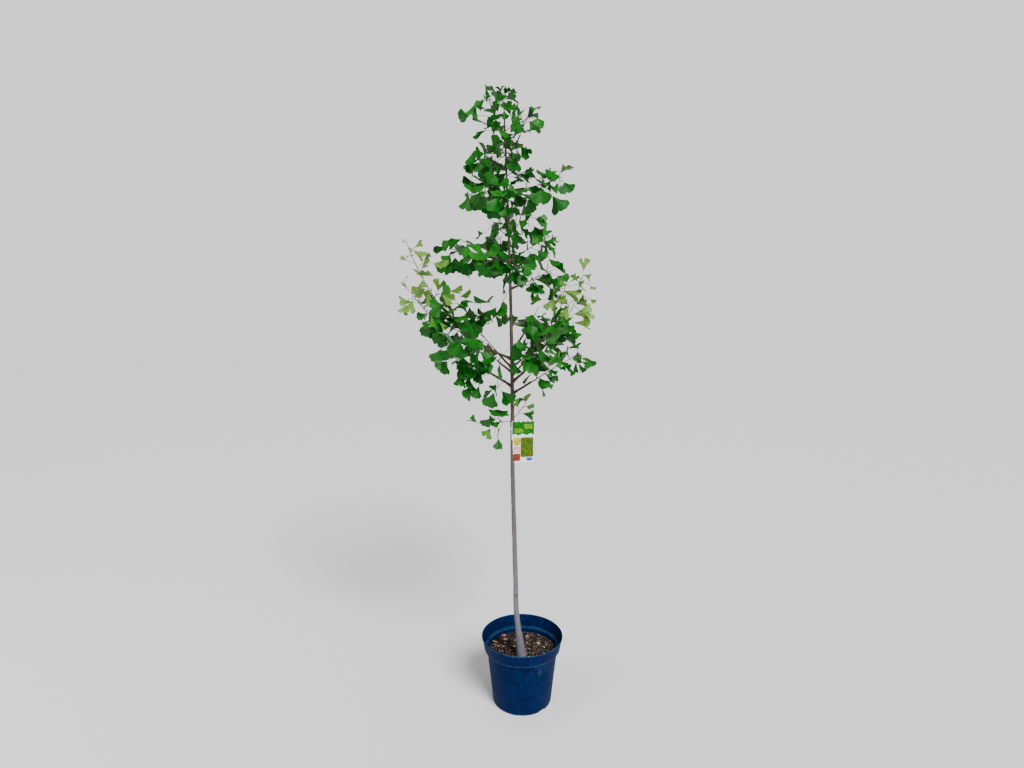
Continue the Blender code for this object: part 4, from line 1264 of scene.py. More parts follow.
def grow_crown() -> list[Mass]:
    """Grow all the boughs and masses, clear of the trunk and the label.

    Returns:
        The masses, each with its bough, stems, twigs and leaves.
    """
    crown = Crown()
    steps = range(RULE.trunk_runs + 1)
    heights = [TRUNK.foot + (TRUNK.top - TRUNK.foot) * (step / RULE.trunk_runs) ** 1.5 for step in steps]
    radii = [TRUNK.radius(height) + GAP for height in heights]
    shell = limb_shell([TRUNK.at(height) for height in heights], radii, RULE.trunk_sides)
    crown.keep(Standing.of(shell), "trunk")
    label = frame["nodes"]["hang_label"].data
    corners = [vertex.co.copy() for vertex in label.vertices]
    crown.keep(Standing.of((corners, [tuple(face.vertices) for face in label.polygons])), "label")
    masses = []
    for shoot in (*SHOOTS, LEADER):
        root = TRUNK.at(shoot.height) + (UP * GAP if shoot is LEADER else Vector())
        curve = shoot_curve(root, shoot.reach, shoot.rise, shoot.bearing, shoot.climb)
        long_way = shoot.reach + abs(shoot.rise) > RULE.long_stem
        runs = RULE.long_stem_runs if long_way else RULE.short_stem_runs
        mass = Mass(shoot, crown)
        stem = limb_points(curve, 0.0, 1.0, runs)
        if shoot.bare:
            shares = [shoot.bare * step / RULE.bough_runs for step in range(RULE.bough_runs + 1)]
            points = [curve(share) for share in shares]
            sizes = [shoot.radius * blend(1.0, RULE.tip_taper, share) for share in shares]
            mass.bough = (points, sizes)
            crown.keep(Standing.of(limb_shell(points, sizes, RULE.bough_sides)), "bough_" + shoot.name)
            way = (points[-1] - points[-2]).normalized()
            first = points[-1] + way * GAP
            stem = [first, first + way * RULE.stem_lead, *limb_points(curve, shoot.bare, 1.0, runs)[1:]]
        mass.add_stems(stem, shoot.radius * blend(1.0, RULE.tip_taper, shoot.bare))
        masses.append(mass)
    for mass in masses:
        mass.grow()
    by_name = {mass.shoot.name: mass for mass in masses}
    for name, rows in SPRAYS.items():
        for *place, leaves, width, tone in rows:
            end = Vector([value / 1000.0 for value in place])
            by_name[name].add_spray(end, leaves, width / 1000.0, tone)
    for mass in masses:
        mass.add_finer()
    return masses


# Patterns that are modelled once and placed many times

@dataclass
class Pattern:
    """Mesh of a modelled form, ready to be placed many times."""

    corners: np.ndarray
    faces: list[tuple[int, ...]]
    maps: np.ndarray
    slots: list[int]

    @classmethod
    def taken_from(cls, piece: Piece) -> "Pattern":
        """Take a piece's mesh as a pattern and remove the piece."""
        mesh = piece.data
        corners = np.array([tuple(vertex.co) for vertex in mesh.vertices])
        faces = [tuple(face.vertices) for face in mesh.polygons]
        slots = [face.material_index for face in mesh.polygons]
        layer = mesh.uv_layers.active
        maps = np.array([tuple(item.uv) for item in layer.data]) if layer else np.zeros((len(mesh.loops), 2))
        discard(piece)
        return cls(corners, faces, maps, slots)


class Gathering:
    """One piece made of many placed patterns."""

    def __init__(self) -> None:
        """Start with no copies."""
        self.corners: list[np.ndarray] = []
        self.faces: list[tuple[int, ...]] = []
        self.maps: list[np.ndarray] = []
        self.slots: list[int] = []
        self.count = 0

    def add(self, pattern: Pattern, corners: np.ndarray, slot: int = 0) -> None:
        """Add a copy of a pattern, by its corners' new places and the first of its material slots."""
        self.corners.append(corners)
        self.faces.extend(tuple(index + self.count for index in face) for face in pattern.faces)
        self.maps.append(pattern.maps)
        self.slots.extend(slot + own for own in pattern.slots)
        self.count += len(corners)

    def hand_over(self, name: str, finishes: Sequence[Finish], smooth_below: float, slot: str,
                  nodes: Iterable[str] = ()) -> None:
        """Make the piece and hand it over.

        Args:
            name: Its name.
            finishes: Its finishes, in the order of the material slots.
            smooth_below: Faces that meet within this angle, in degrees, are shaded as one.
            nodes: Names of the solids that it replaces.
        """
        mesh = bpy.data.meshes.new(name)
        mesh.from_pydata(np.concatenate(self.corners).tolist(), [], self.faces)
        layer = mesh.uv_layers.new(name="UVMap")
        layer.data.foreach_set("uv", np.concatenate(self.maps).astype(np.float32).ravel())
        for finish in finishes:
            mesh.materials.append(finish.build())
        mesh.polygons.foreach_set("material_index", np.array(self.slots, np.int32))
        hand_over(settle(link_new(name, mesh), smooth_below), nodes)


def placed(corners: np.ndarray, seat: Matrix) -> np.ndarray:
    """Corners moved by a frame."""
    return corners @ np.array(seat.to_3x3()).T + np.array(seat.translation)


def tubes(name: str, lines: Iterable[Line], resolution: int) -> Piece:
    """Closed round limbs along lines of points and radii, made as a curve with a bevel."""
    curve = bpy.data.curves.new(name, "CURVE")
    curve.dimensions = "3D"
    curve.bevel_depth = 1.0
    curve.bevel_resolution = resolution
    curve.use_fill_caps = True
    for points, radii in lines:
        spline = curve.splines.new("POLY")
        spline.points.add(len(points) - 1)
        for knot, place, radius in zip(spline.points, points, radii):
            knot.co = (*place, 1.0)
            knot.radius = radius
    piece = link_new(name, curve)
    select_only(piece)
    bpy.ops.object.convert(target="MESH")
    clean_faces(piece, 1e-6)
    return piece


def turned(name: str, sides: int, start: Pair, rings: Iterable[Pair], open_top: bool) -> Piece:
    """Solid of rings that are extruded one by one from a disc.

    Args:
        name: The piece's name.
        sides: Number of corners of each ring.
        start: Radius and height of the disc.
        rings: Radius and height of each further ring.
        open_top: Whether the last ring is closed by a face, or gathered to its middle.

    Returns:
        The new object.
    """
    radius, level = start
    select_only(None)
    bpy.ops.mesh.primitive_circle_add(vertices=sides, radius=radius, fill_type="NGON",
                                      location=(0.0, 0.0, level))
    piece = bpy.context.object
    piece.name = name
    piece.data.name = name
    edit_all(piece)
    bpy.ops.mesh.select_mode(type="EDGE")
    for ring_radius, ring_level in rings:
        grow = ring_radius / radius
        bpy.ops.mesh.extrude_edges_move()
        bpy.ops.transform.translate(value=(0.0, 0.0, ring_level - level))
        bpy.ops.transform.resize(value=(grow, grow, 1.0), center_override=(0.0, 0.0, ring_level))
        radius, level = ring_radius, ring_level
    if open_top:
        bpy.ops.mesh.edge_face_add()
    else:
        bpy.ops.mesh.merge(type="CENTER")
    clean_faces(piece)
    return settle(piece)


# Leaves, twigs and buds

@dataclass(frozen=True)
class BladeForm:
    """One form of ginkgo blade, of unit width, its foot at the origin and its face up."""

    seed: int
    half_spread: float
    cleft: float
    columns: int = 12
    ragged: float = 0.035
    pleat: float = 0.030
    rows: int = 2
    lobe_radius: float = 0.82
    flank_radius: float = 0.69
    lobe_middle: float = 0.45
    foot: float = 0.012
    waist: float = 0.58
    ripples: float = 8.0
    dish: float = 0.07
    width: float = 1.04
    thickness: float = 0.010

    def rim(self, share: float, rng: random.Random) -> float:
        """Radius of the ragged rim at a share from the middle, 0, to a flank, 1 or -1."""
        away = abs(share)
        column = round((share + 1.0) * self.columns / 2.0)
        tooth = self.ragged * rng.uniform(0.2, 1.0) * (1.0 if column % 2 else -1.0)
        if away < 0.5 / self.columns:
            return self.cleft
        lobe = 1.0 - ((away - self.lobe_middle) / (1.0 - self.lobe_middle)) ** 2
        return blend(self.flank_radius, self.lobe_radius, max(0.0, lobe)) + tooth

    def model(self) -> Pattern:
        """Model the blade from a grid that is gathered to its foot, and give it its thickness."""
        rng = random.Random(self.seed)
        select_only(None)
        bpy.ops.mesh.primitive_grid_add(x_subdivisions=self.columns, y_subdivisions=self.rows, size=1.0)
        piece = bpy.context.object
        rims: dict[float, float] = {}
        phase = rng.uniform(0.0, math.tau)
        for vertex in piece.data.vertices:
            share = round(vertex.co.x * 2.0, 4)
            out = vertex.co.y + 0.5
            if share not in rims:
                rims[share] = self.rim(share, rng)
            angle = math.radians(self.half_spread) * share * blend(self.waist, 1.0, out)
            radius = rims[share] * out ** 0.9
            wave = self.pleat * math.sin(share * self.ripples + phase) * out ** 2
            lift = self.dish * abs(share) ** 1.5 * out
            vertex.co = (math.sin(angle) * radius + share * self.foot * (1.0 - out),
                         math.cos(angle) * radius, wave + lift)
        widest = max(abs(vertex.co.x) for vertex in piece.data.vertices) * 2.0
        for vertex in piece.data.vertices:
            vertex.co *= self.width / widest
        clean_faces(piece, 0.004)
        if sum(face.normal.z for face in piece.data.polygons) < 0.0:
            piece.data.flip_normals()
        apply_modifier(piece, "SOLIDIFY", thickness=self.thickness, offset=0.0, material_offset=1,
                       material_offset_rim=1)
        return Pattern.taken_from(piece)


LOBED_FORMS = (
    BladeForm(1, 54.0, 0.66),
    BladeForm(2, 60.0, 0.58, ragged=0.042),
    BladeForm(3, 50.0, 0.72, pleat=0.045),
    BladeForm(4, 64.0, 0.68, pleat=0.040),
    BladeForm(5, 47.0, 0.76),
    BladeForm(6, 57.0, 0.74, ragged=0.045, pleat=0.050),
)
SMALL_FORMS = tuple(BladeForm(*row[:3], 8, row[3], lobe_radius=row[4], flank_radius=row[5]) for row in (
    (7, 40.0, 0.46, 0.018, 0.80, 0.76),
    (8, 34.0, 0.60, 0.018, 0.82, 0.78),
    (9, 46.0, 0.38, 0.015, 0.78, 0.74),
    (10, 30.0, 0.70, 0.015, 0.82, 0.80),
))


@dataclass
class Foliage:
    """Leaves, petioles, twigs and buds of all the masses, in tiers that part at heights up the tree.

    A fold along a leaf's middle is in degrees, and its curl from foot to rim in radians.
    """

    masses: list[Mass]
    tiers: tuple[float, ...] = (1.14, 1.25, 1.40, 1.55, 1.72)
    outward_share: float = 0.88
    folds: Pair = (-4.0, 34.0)
    young_folds: Pair = (5.0, 38.0)
    young_growth: float = 1.25
    curls: Pair = (-0.15, 0.75)
    shrinks: int = 12
    shrink: float = 0.88
    stalk_radius: float = 0.0006
    stalk_sag: float = 0.06
    stalk_tapers: tuple[float, ...] = (1.5, 1.0, 1.0, 0.6)
    twig_thinness: float = 0.8
    node_swells: tuple[Pair, ...] = ((0.0, 1.0), (0.44, 0.92), (0.5, 1.28), (0.56, 0.94))
    bud_length: float = 0.0042
    bud_sizes: Pair = (0.8, 1.2)
    rng: random.Random = field(default_factory=lambda: random.Random(77))
    low: np.ndarray = field(default_factory=lambda: np.array(WHOLE_BOX[0]) + 0.0005)
    high: np.ndarray = field(default_factory=lambda: np.array(WHOLE_BOX[1]) - 0.0005)

    def shape_blade(self, pattern: Pattern, leaf: Leaf) -> np.ndarray:
        """Corners of a blade's form, folded, curled and sized for a leaf."""
        folds = self.young_folds if leaf.width < RULE.lobed_width else self.folds
        fold = math.radians(self.rng.uniform(*folds))
        curl = self.rng.uniform(*self.curls) + 1e-6
        growth = self.young_growth if leaf.tone is YOUNG else 1.0
        x, y, z = pattern.corners.T
        lifted = z + np.abs(x) * math.sin(fold)
        bent = np.sin(curl * y) / curl
        sunk = (1.0 - np.cos(curl * y)) / curl
        rows = [x * math.cos(fold), bent + lifted * np.sin(curl * y), lifted * np.cos(curl * y) - sunk]
        return np.stack(rows, axis=1) * leaf.width * growth

    def set_blade(self, pattern: Pattern, leaf: Leaf) -> np.ndarray:
        """Corners of a blade on its petiole, most with the upper face out, shrunk into the tree's box."""
        shaped = self.shape_blade(pattern, leaf)
        across = leaf.axis.cross(leaf.normal).normalized()
        normal = leaf.normal
        outward = leaf.base - TRUNK.at(min(max(leaf.base.z, TRUNK.foot), TRUNK.top))
        outward.z = 0.0
        faces_out = normal.dot(outward.normalized() + UP * 0.6) > 0.0
        if faces_out != (self.rng.random() < self.outward_share):
            across = -across
            normal = -normal
        seat = Matrix.Translation(leaf.base) @ Matrix((across, leaf.axis, normal)).transposed().to_4x4()
        corners = placed(shaped, seat)
        for _ in range(self.shrinks):
            if (corners > self.low).all() and (corners < self.high).all():
                break
            shaped = shaped * self.shrink
            corners = placed(shaped, seat)
        return corners

    def build_leaves(self) -> None:
        """One piece of leaves for each tier, its slots an upper and an under finish for each age."""
        lobed = [form.model() for form in LOBED_FORMS]
        small = [form.model() for form in SMALL_FORMS]
        for tier in range(len(self.tiers) + 1):
            gathering = Gathering()
            masses = [mass for mass in self.masses
                      if sum(mass.shoot.height > height for height in self.tiers) == tier]
            for leaf in (leaf for mass in masses for leaf in mass.leaves):
                forms = small if leaf.width < RULE.lobed_width or leaf.tone is YOUNG else lobed
                pattern = forms[self.rng.randrange(len(forms))]
                gathering.add(pattern, self.set_blade(pattern, leaf), 2 * leaf.tone.value)
            nodes = ["foliage_" + mass.shoot.name for mass in masses]
            gathering.hand_over(f"leaves_tier_{tier + 1}", LEAF_FINISHES, 50.0, "foliage", nodes)

    def build_stalks(self) -> None:
        """All the petioles, each with a slight sag, as one piece."""
        radii = [self.stalk_radius * taper for taper in self.stalk_tapers]
        lines: list[Line] = []
        for leaf in (leaf for mass in self.masses for leaf in mass.leaves):
            sag = UP * (leaf.base - leaf.root).length * -self.stalk_sag
            onward = leaf.base + leaf.axis * leaf.width * self.stalk_sag
            lines.append(([leaf.root, leaf.root.lerp(leaf.base, 0.5) + sag, leaf.base, onward], radii))
        finish_off(tubes("leaf_stalks", lines, 0), PETIOLE_SKIN, 60.0)

    def with_nodes(self, points: Points, radii: Sequence[float]) -> Line:
        """Line of a twig with a node on each run, where it swells."""
        line: list[Vector] = []
        sizes: list[float] = []
        for index in range(len(points) - 1):
            for share, swell in self.node_swells:
                line.append(points[index].lerp(points[index + 1], share))
                sizes.append(blend(radii[index], radii[index + 1], share) * swell * self.twig_thinness)
        return [*line, points[-1]], [*sizes, radii[-1] * 0.5]

    def build_buds(self) -> None:
        """A small pointed bud at each node that carries a leaf, and at each tip."""
        select_only(None)
        bpy.ops.mesh.primitive_uv_sphere_add(segments=6, ring_count=4, radius=0.5)
        piece = bpy.context.object
        for vertex in piece.data.vertices:
            narrow = 0.8 * (1.15 - 0.5 * (vertex.co.z + 0.5))
            vertex.co.x *= narrow
            vertex.co.y *= narrow
        bud = Pattern.taken_from(piece)
        gathering = Gathering()
        for mass in self.masses:
            ends = [(points[-1], (points[-1] - points[-2]).normalized()) for points, _ in mass.limbs]
            for place, way in (*mass.nodes, *ends):
                size = self.bud_length * self.rng.uniform(*self.bud_sizes)
                turn = way.to_track_quat("Z", "Y").to_matrix().to_4x4()
                seat = Matrix.Translation(place + way * size * 0.3) @ turn
                gathering.add(bud, placed(bud.corners * size, seat))
        gathering.hand_over("buds", [BUD_SKIN], 60.0, "foliage")

    def build(self) -> None:
        """Build the leaves, their petioles, the stems and twigs, and the buds."""
        self.build_leaves()
        self.build_stalks()
        twigs = [self.with_nodes(points, radii) for mass in self.masses for points, radii in mass.limbs]
        finish_off(tubes("twigs", twigs, 1), TWIG_SKIN, 60.0)
        self.build_buds()


@dataclass
class Bark:
    """Trunk and boughs with the relief of their bark; its two noises are in waves to the metre."""

    masses: list[Mass]
    trunk_rings: int = 420
    bough_rings: int = 36
    sink: float = 0.003
    first_node: float = 0.10
    node_spacing: float = 0.058
    node_height: float = 0.0013
    bough_node_height: float = 0.0011
    node_length: float = 0.0045
    ridge: float = 0.00045
    bough_ridge_share: float = 0.7
    crack_waves: Pair = (420.0, 60.0)
    swell_waves: float = 28.0
    swell: float = 1.4
    collar: float = 0.55
    collar_length: float = 0.014

    def relief(self, piece: Piece, nodes: Sequence[tuple[Vector, float]], ridge: float) -> None:
        """Raise ridges along a limb and a knob at each node, and mark the nodes for the finish.

        Args:
            piece: The limb's mesh.
            nodes: Places of the nodes and how far each stands out.
            ridge: Height of the ridges.
        """
        across, upright = self.crack_waves
        marks = piece.data.attributes.new("node_mark", "FLOAT", "POINT")
        for vertex in piece.data.vertices:
            place = vertex.co
            crack = noise.noise(Vector((place.x * across, place.y * across, place.z * upright)))
            lift = ridge * (crack + noise.noise(place * self.swell_waves) * self.swell)
            mark = 0.0
            for centre, height in nodes:
                if abs(place.z - centre.z) < 4.0 * self.node_length:
                    away = (place - centre).length / self.node_length
                    lift += height * math.exp(-away * away)
                    mark = max(mark, 0.9 * math.exp(-(away * 1.15) ** 4))
            marks.data[vertex.index].value = mark
            vertex.co = place + vertex.normal * lift

    def build_trunk(self) -> None:
        """Trunk from just inside the potting mix to its tip."""
        start = TRUNK.foot
        heights = [blend(start, TRUNK.top, step / self.trunk_rings) for step in range(self.trunk_rings + 1)]
        points = [TRUNK.at(height) for height in heights]
        radii = [TRUNK.radius(height) for height in heights]
        below = points[0] - UP * self.sink
        piece = tubes("trunk_bark", [([below, *points], [radii[0] * 1.02, *radii])], 10)
        nodes = []
        turn = 0.0
        height = start + self.first_node
        while height < TRUNK.top - 0.02:
            way = heading(math.degrees(turn), 0.0)
            nodes.append((TRUNK.at(height) + way * TRUNK.radius(height), self.node_height))
            turn += GOLDEN_ANGLE
            height += self.node_spacing
        self.relief(piece, nodes, self.ridge)
        finish_off(piece, TRUNK_BARK, 70.0, ["trunk"])

    def build_boughs(self) -> None:
        """All the boughs, each with a collar at the trunk and short spurs on it."""
        lines: list[Line] = []
        nodes: list[tuple[Vector, float]] = []
        carriers = [mass for mass in self.masses if mass.bough is not None]
        for points, radii in (mass.bough for mass in carriers):
            line, sizes = [], []
            for step in range(self.bough_rings + 1):
                share = step / self.bough_rings * (len(points) - 1)
                run = min(int(share), len(points) - 2)
                line.append(points[run].lerp(points[run + 1], share - run))
                away = (line[-1] - points[0]).length / self.collar_length
                size = blend(radii[run], radii[run + 1], share - run)
                sizes.append(size * (1.0 + self.collar * math.exp(-(away ** 2))))
            lines.append((line, sizes))
            for index in range(2, self.bough_rings, 6):
                onward = line[index + 1] - line[index]
                way = Matrix.Rotation(index * GOLDEN_ANGLE, 3, onward) @ onward.orthogonal().normalized()
                nodes.append((line[index] + way * sizes[index], self.bough_node_height))
        piece = tubes("bough_bark", lines, 3)
        self.relief(piece, nodes, self.ridge * self.bough_ridge_share)
        finish_off(piece, BOUGH_BARK, 70.0, ["bough_" + mass.shoot.name for mass in carriers])

    def build(self) -> None:
        """Build the trunk and the boughs."""
        self.build_trunk()
        self.build_boughs()


# Pot, potting mix and label

@dataclass
class Pot:
    """Round tub of dark blue plastic with a wide collar, an inner ledge and drain notches."""

    height: float = 0.233
    base_radius: float = 0.102
    base_round: float = 0.006
    neck_radius: float = 0.1215
    collar_height: float = 0.043
    collar_foot_radius: float = 0.1315
    rim_radius: float = 0.140
    rim_lip: float = 0.0022
    wall: float = 0.0022
    floor: float = 0.003
    sides: int = 112
    drain_count: int = 3
    drain_first_bearing: float = -49.0
    drain_width: float = 0.030
    drain_height: float = 0.010
    drain_depth: float = 0.012
    edge_round: float = 0.0007

    @property
    def neck(self) -> float:
        """Height of the step under the collar."""
        return self.height - self.collar_height

    def profile(self) -> list[Pair]:
        """Radius and height of each ring, up the outside and down the inside."""
        lip, top, neck = self.rim_radius, self.height, self.neck
        base, foot = self.base_radius, self.collar_foot_radius
        inner_lip, inner_foot = lip - self.wall, foot - self.wall
        inner_neck, inner_base = self.neck_radius - self.wall, base - self.wall
        return [
            (base - 0.62 * self.base_round, 0.0006), (base - 0.2 * self.base_round, 0.35 * self.base_round),
            (base, self.base_round),
            (blend(base, self.neck_radius, 0.5), blend(self.base_round, neck, 0.5)),
            (self.neck_radius, neck - 0.006), (self.neck_radius + 0.0012, neck - 0.0006),
            (foot - 0.0006, neck + 0.0004), (foot, neck + 0.0016), (lip - self.rim_lip, top - 0.0052),
            (lip - 0.0003, top - 0.0042), (lip, top - 0.0030), (lip, top - 0.0010), (lip - 0.0008, top),
            (inner_lip - 0.0003, top), (inner_lip - 0.0010, top - 0.0010), (inner_foot, neck + 0.0055),
            (inner_foot - 0.0018, neck + 0.0040), (inner_neck + 0.0006, neck + 0.0030),
            (inner_neck, neck + 0.0015), (inner_base, self.floor + 0.004), (inner_base - 0.004, self.floor),
        ]

    def cut_drain(self, piece: Piece, bearing: float) -> None:
        """Cut an arched notch into the foot at a bearing in degrees."""
        middle = heading(bearing, 0.0) * self.base_radius
        select_only(None)
        bpy.ops.mesh.primitive_cylinder_add(vertices=32, radius=1.0, depth=self.drain_depth, location=middle,
                                            rotation=(0.0, math.radians(90.0), math.radians(bearing)))
        cutter = bpy.context.object
        cutter.scale = (self.drain_height, self.drain_width / 2.0, 1.0)
        settle(cutter)
        apply_modifier(piece, "BOOLEAN", operation="DIFFERENCE", solver="EXACT", object=cutter)
        discard(cutter)

    def build(self) -> None:
        """Turn the tub from its profile, cut its drain notches and round its edges."""
        start = (self.base_radius - self.base_round, 0.0)
        piece = turned("nursery_pot", self.sides, start, self.profile(), True)
        for index in range(self.drain_count):
            self.cut_drain(piece, self.drain_first_bearing + 360.0 / self.drain_count * index)
        round_edges(piece, self.edge_round)
        # Pale bands at the rim, the collar step with the inner ledge, and the foot: partly wear, partly
        # painted highlight of the lit edges
        edges = ((self.height - 0.0005, 0.0018), (self.neck + 0.0012, 0.0042), (0.002, 0.006))
        finish = ScuffedPolypropylene("moulded polypropylene, navy", 0.52, shine=0.04, edges=edges)
        finish_off(piece, finish, 38.0, ["pot"])


GROUND = LooseGround("peat and composted bark", 0.95, shine=0.2)
PEAT, CHIPS, SAND = (tuple(LooseGround(name, roughness, shine=shine, dark=dark, middle=middle, pale=pale)
                           for name, roughness, shine, dark, middle, pale in rows) for rows in (
    (("dark peat crumb", 0.95, 0.1, "#050403", "#120e0c", "#2a2420"),
     ("brown bark crumb", 0.9, 0.2, "#120c09", "#2e221b", "#584739")),
    (("pine bark chip, pinkish", 0.85, 0.5, "#6a443c", "#a87564", "#cfa692"),
     ("pine bark chip, brown", 0.85, 0.5, "#2c1d18", "#5e4237", "#8a6b5b"),
     ("pine bark chip, purple brown", 0.85, 0.5, "#2b1a20", "#553643", "#7f5f69")),
    (("grit, beige", 0.8, 0.5, "#8a7a60", "#b8a888", "#d8ccb4"),
     ("grit, grey", 0.8, 0.5, "#5a5a5c", "#86878a", "#b4b6ba"),
     ("grit, ochre", 0.8, 0.5, "#5f4626", "#8a6a3c", "#b4945e")),
))


@dataclass(frozen=True)
class Litter:
    """Grains of one kind, strewn over the potting mix as one piece.

    They lie tilted by up to an angle in degrees and sunk by a share of their size, some
    left out on the left. The first ones may have fixed places, sizes and the first finish.
    """

    name: str
    count: int
    sizes: Pair
    finishes: tuple[Finish, ...]
    tilt: float
    sink: float
    to_right: float = 0.0
    fixed: tuple[Triple, ...] = ()


@dataclass
class PottingMix:
    """Potting mix with its uneven top, crumbs, bark chips and grit."""

    level: float = 0.180
    edge_drop: float = 0.004
    radius: float = 0.1170
    foot_radius: float = 0.0985
    floor: float = 0.0033
    rings: int = 44
    sides: int = 168
    relief: float = 0.0032
    coarse_waves: float = 55.0
    fine_waves: float = 190.0
    heap: float = 0.0035
    heap_radius: float = 0.03
    large_chips: tuple[Triple, ...] = (
        (-0.060, 0.052, 0.027), (-0.096, 0.040, 0.025), (-0.064, 0.084, 0.022), (0.020, 0.078, 0.018),
        (0.058, 0.030, 0.019), (-0.030, -0.070, 0.024), (0.048, -0.062, 0.021),
    )
    rng: random.Random = field(default_factory=lambda: random.Random(31))

    def top_at(self, x: float, y: float) -> float:
        """Height of the mix's top at a place."""
        out = math.hypot(x, y) / self.radius
        coarse = noise.noise(Vector((x * self.coarse_waves, y * self.coarse_waves, 2.0)))
        fine = noise.noise(Vector((x * self.fine_waves, y * self.fine_waves, 7.0)))
        slope = self.edge_drop * max(0.0, out - 0.5) / 0.5
        near = TRUNK.at(TRUNK.foot)
        away = math.hypot(x - near.x, y - near.y) / self.heap_radius
        relief = self.relief * (0.55 * coarse + 0.45 * fine) * (1.0 - 0.6 * (out > 0.97))
        return self.level - slope + self.heap * math.exp(-(away ** 2)) + relief

    def build_body(self) -> None:
        """Disc of rings, closed down to the pot's floor, with its uneven top."""
        rings = [(self.radius * (1.0 - ring / self.rings), self.level) for ring in range(self.rings)]
        piece = turned("potting_mix_body", self.sides, (self.foot_radius, self.floor), rings, False)
        for vertex in piece.data.vertices:
            if vertex.co.z > self.level - 0.001:
                vertex.co.z = self.top_at(vertex.co.x, vertex.co.y)
        finish_off(piece, GROUND, 180.0, ["potting_mix"])

    def spot(self, size: float, to_right: float) -> Pair:
        """Random place on the top, clear of the wall and the trunk, more often to one side."""
        near = TRUNK.at(TRUNK.foot)
        while True:
            out = math.sqrt(self.rng.random()) * (self.radius - size)
            turn = self.rng.uniform(0.0, math.tau)
            x, y = out * math.cos(turn), out * math.sin(turn)
            if x < 0.0 and self.rng.random() < to_right:
                continue
            if math.hypot(x - near.x, y - near.y) > TRUNK.radius(TRUNK.foot) + size * 0.5:
                return x, y

    def stone(self, seed: int, sizes: Triple) -> Pattern:
        """Model an angular grain from a faceted ball, of unit size."""
        rng = random.Random(seed)
        select_only(None)
        bpy.ops.mesh.primitive_ico_sphere_add(subdivisions=1, radius=0.5)
        piece = bpy.context.object
        for vertex in piece.data.vertices:
            push = rng.uniform(0.72, 1.15)
            vertex.co = Vector(value * size * push for value, size in zip(vertex.co, sizes))
        return Pattern.taken_from(piece)

    def strew(self, litter: Litter, forms: Sequence[Pattern]) -> None:
        """Strew copies of a few forms of grain over the top as one piece."""
        gathering = Gathering()
        for index in range(litter.count):
            size = blend(*litter.sizes, self.rng.random() ** 2.2)
            x, y = self.spot(size * 0.7, litter.to_right)
            if index < len(litter.fixed):
                x, y, size = litter.fixed[index]
            seat = Vector((x, y, self.top_at(x, y) + size * (0.22 - litter.sink)))
            turn = Matrix.Rotation(self.rng.uniform(0.0, math.tau), 4, "Z")
            lean = Matrix.Rotation(math.radians(self.rng.uniform(-litter.tilt, litter.tilt)), 4, "X")
            form = forms[self.rng.randrange(len(forms))]
            corners = placed(form.corners * size, Matrix.Translation(seat) @ turn @ lean)
            slot = self.rng.randrange(len(litter.finishes))
            gathering.add(form, corners, 0 if index < len(litter.fixed) else slot)
        gathering.hand_over(litter.name, litter.finishes, 25.0, "potting_mix")

    def build(self) -> None:
        """Build the mix and what lies on it."""
        self.build_body()
        crumbs = [self.stone(seed, (1.0, 0.8, 0.7)) for seed in range(4)]
        chips = [self.stone(seed, (1.0, 0.55, 0.22)) for seed in range(10, 15)]
        self.strew(Litter("peat_crumbs", 900, (0.003, 0.009), PEAT, 40.0, 0.15), crumbs)
        self.strew(Litter("bark_chips", 80, (0.007, 0.019), CHIPS, 28.0, 0.05, fixed=self.large_chips), chips)
        self.strew(Litter("grit", 360, (0.0018, 0.0052), SAND, 60.0, 0.0, 0.7), crumbs)


INKS = {name: PrintedFilm("ink, " + name, 0.4, shine=0.15, ink=ink, second=second, third=third, blot=blot)
        for name, ink, second, third, blot in (
    ("leaf green", "#066206", "#1c8010", "#064812", 7.0),
    ("lime", "#4a8c0c", "#86ac1e", "#1c6c0e", 5.0),
    ("olive", "#3f5a10", "#627814", "#142c08", 5.0),
    ("russet", "#7a2a14", "#94402a", "#5a1a10", 4.5),
    ("yellow", "#b8a808", "#cfc433", "#7c700c", 5.0),
    ("blush", "#d8a09a", "#e8cfc0", "#a85a68", 5.0),
    ("blue", "#0a56a8", "#2e7cc0", "#0c4488", 6.0),
)}
SHEET_FILM = PrintedFilm("white polypropylene film", 0.35, ink="#eef3f2", second="#f6f8f6", third="#dfe6ec")
STRAP_FILM = PrintedFilm("white polypropylene strap", 0.35)

# Colour fields of the label: name, ink, left and top edge, width and height in
# millimetres on the sheet, and how round the corners are
FIELDS = (
    ("lime", "lime", 42, 6, 29, 16, 0.9),
    ("base", "lime", 8, 20, 30, 15, 0.8),
    ("panel", "olive", 30, 50, 43, 66, 0.20),
    ("yellow", "yellow", 6, 50, 23, 27, 0.9),
    ("blush", "blush", 6, 79, 23, 23, 0.5),
    ("russet", "russet", 6, 104, 23, 24, 0.3),
    ("blue", "blue", 50, 118, 20, 11, 0.7),
)


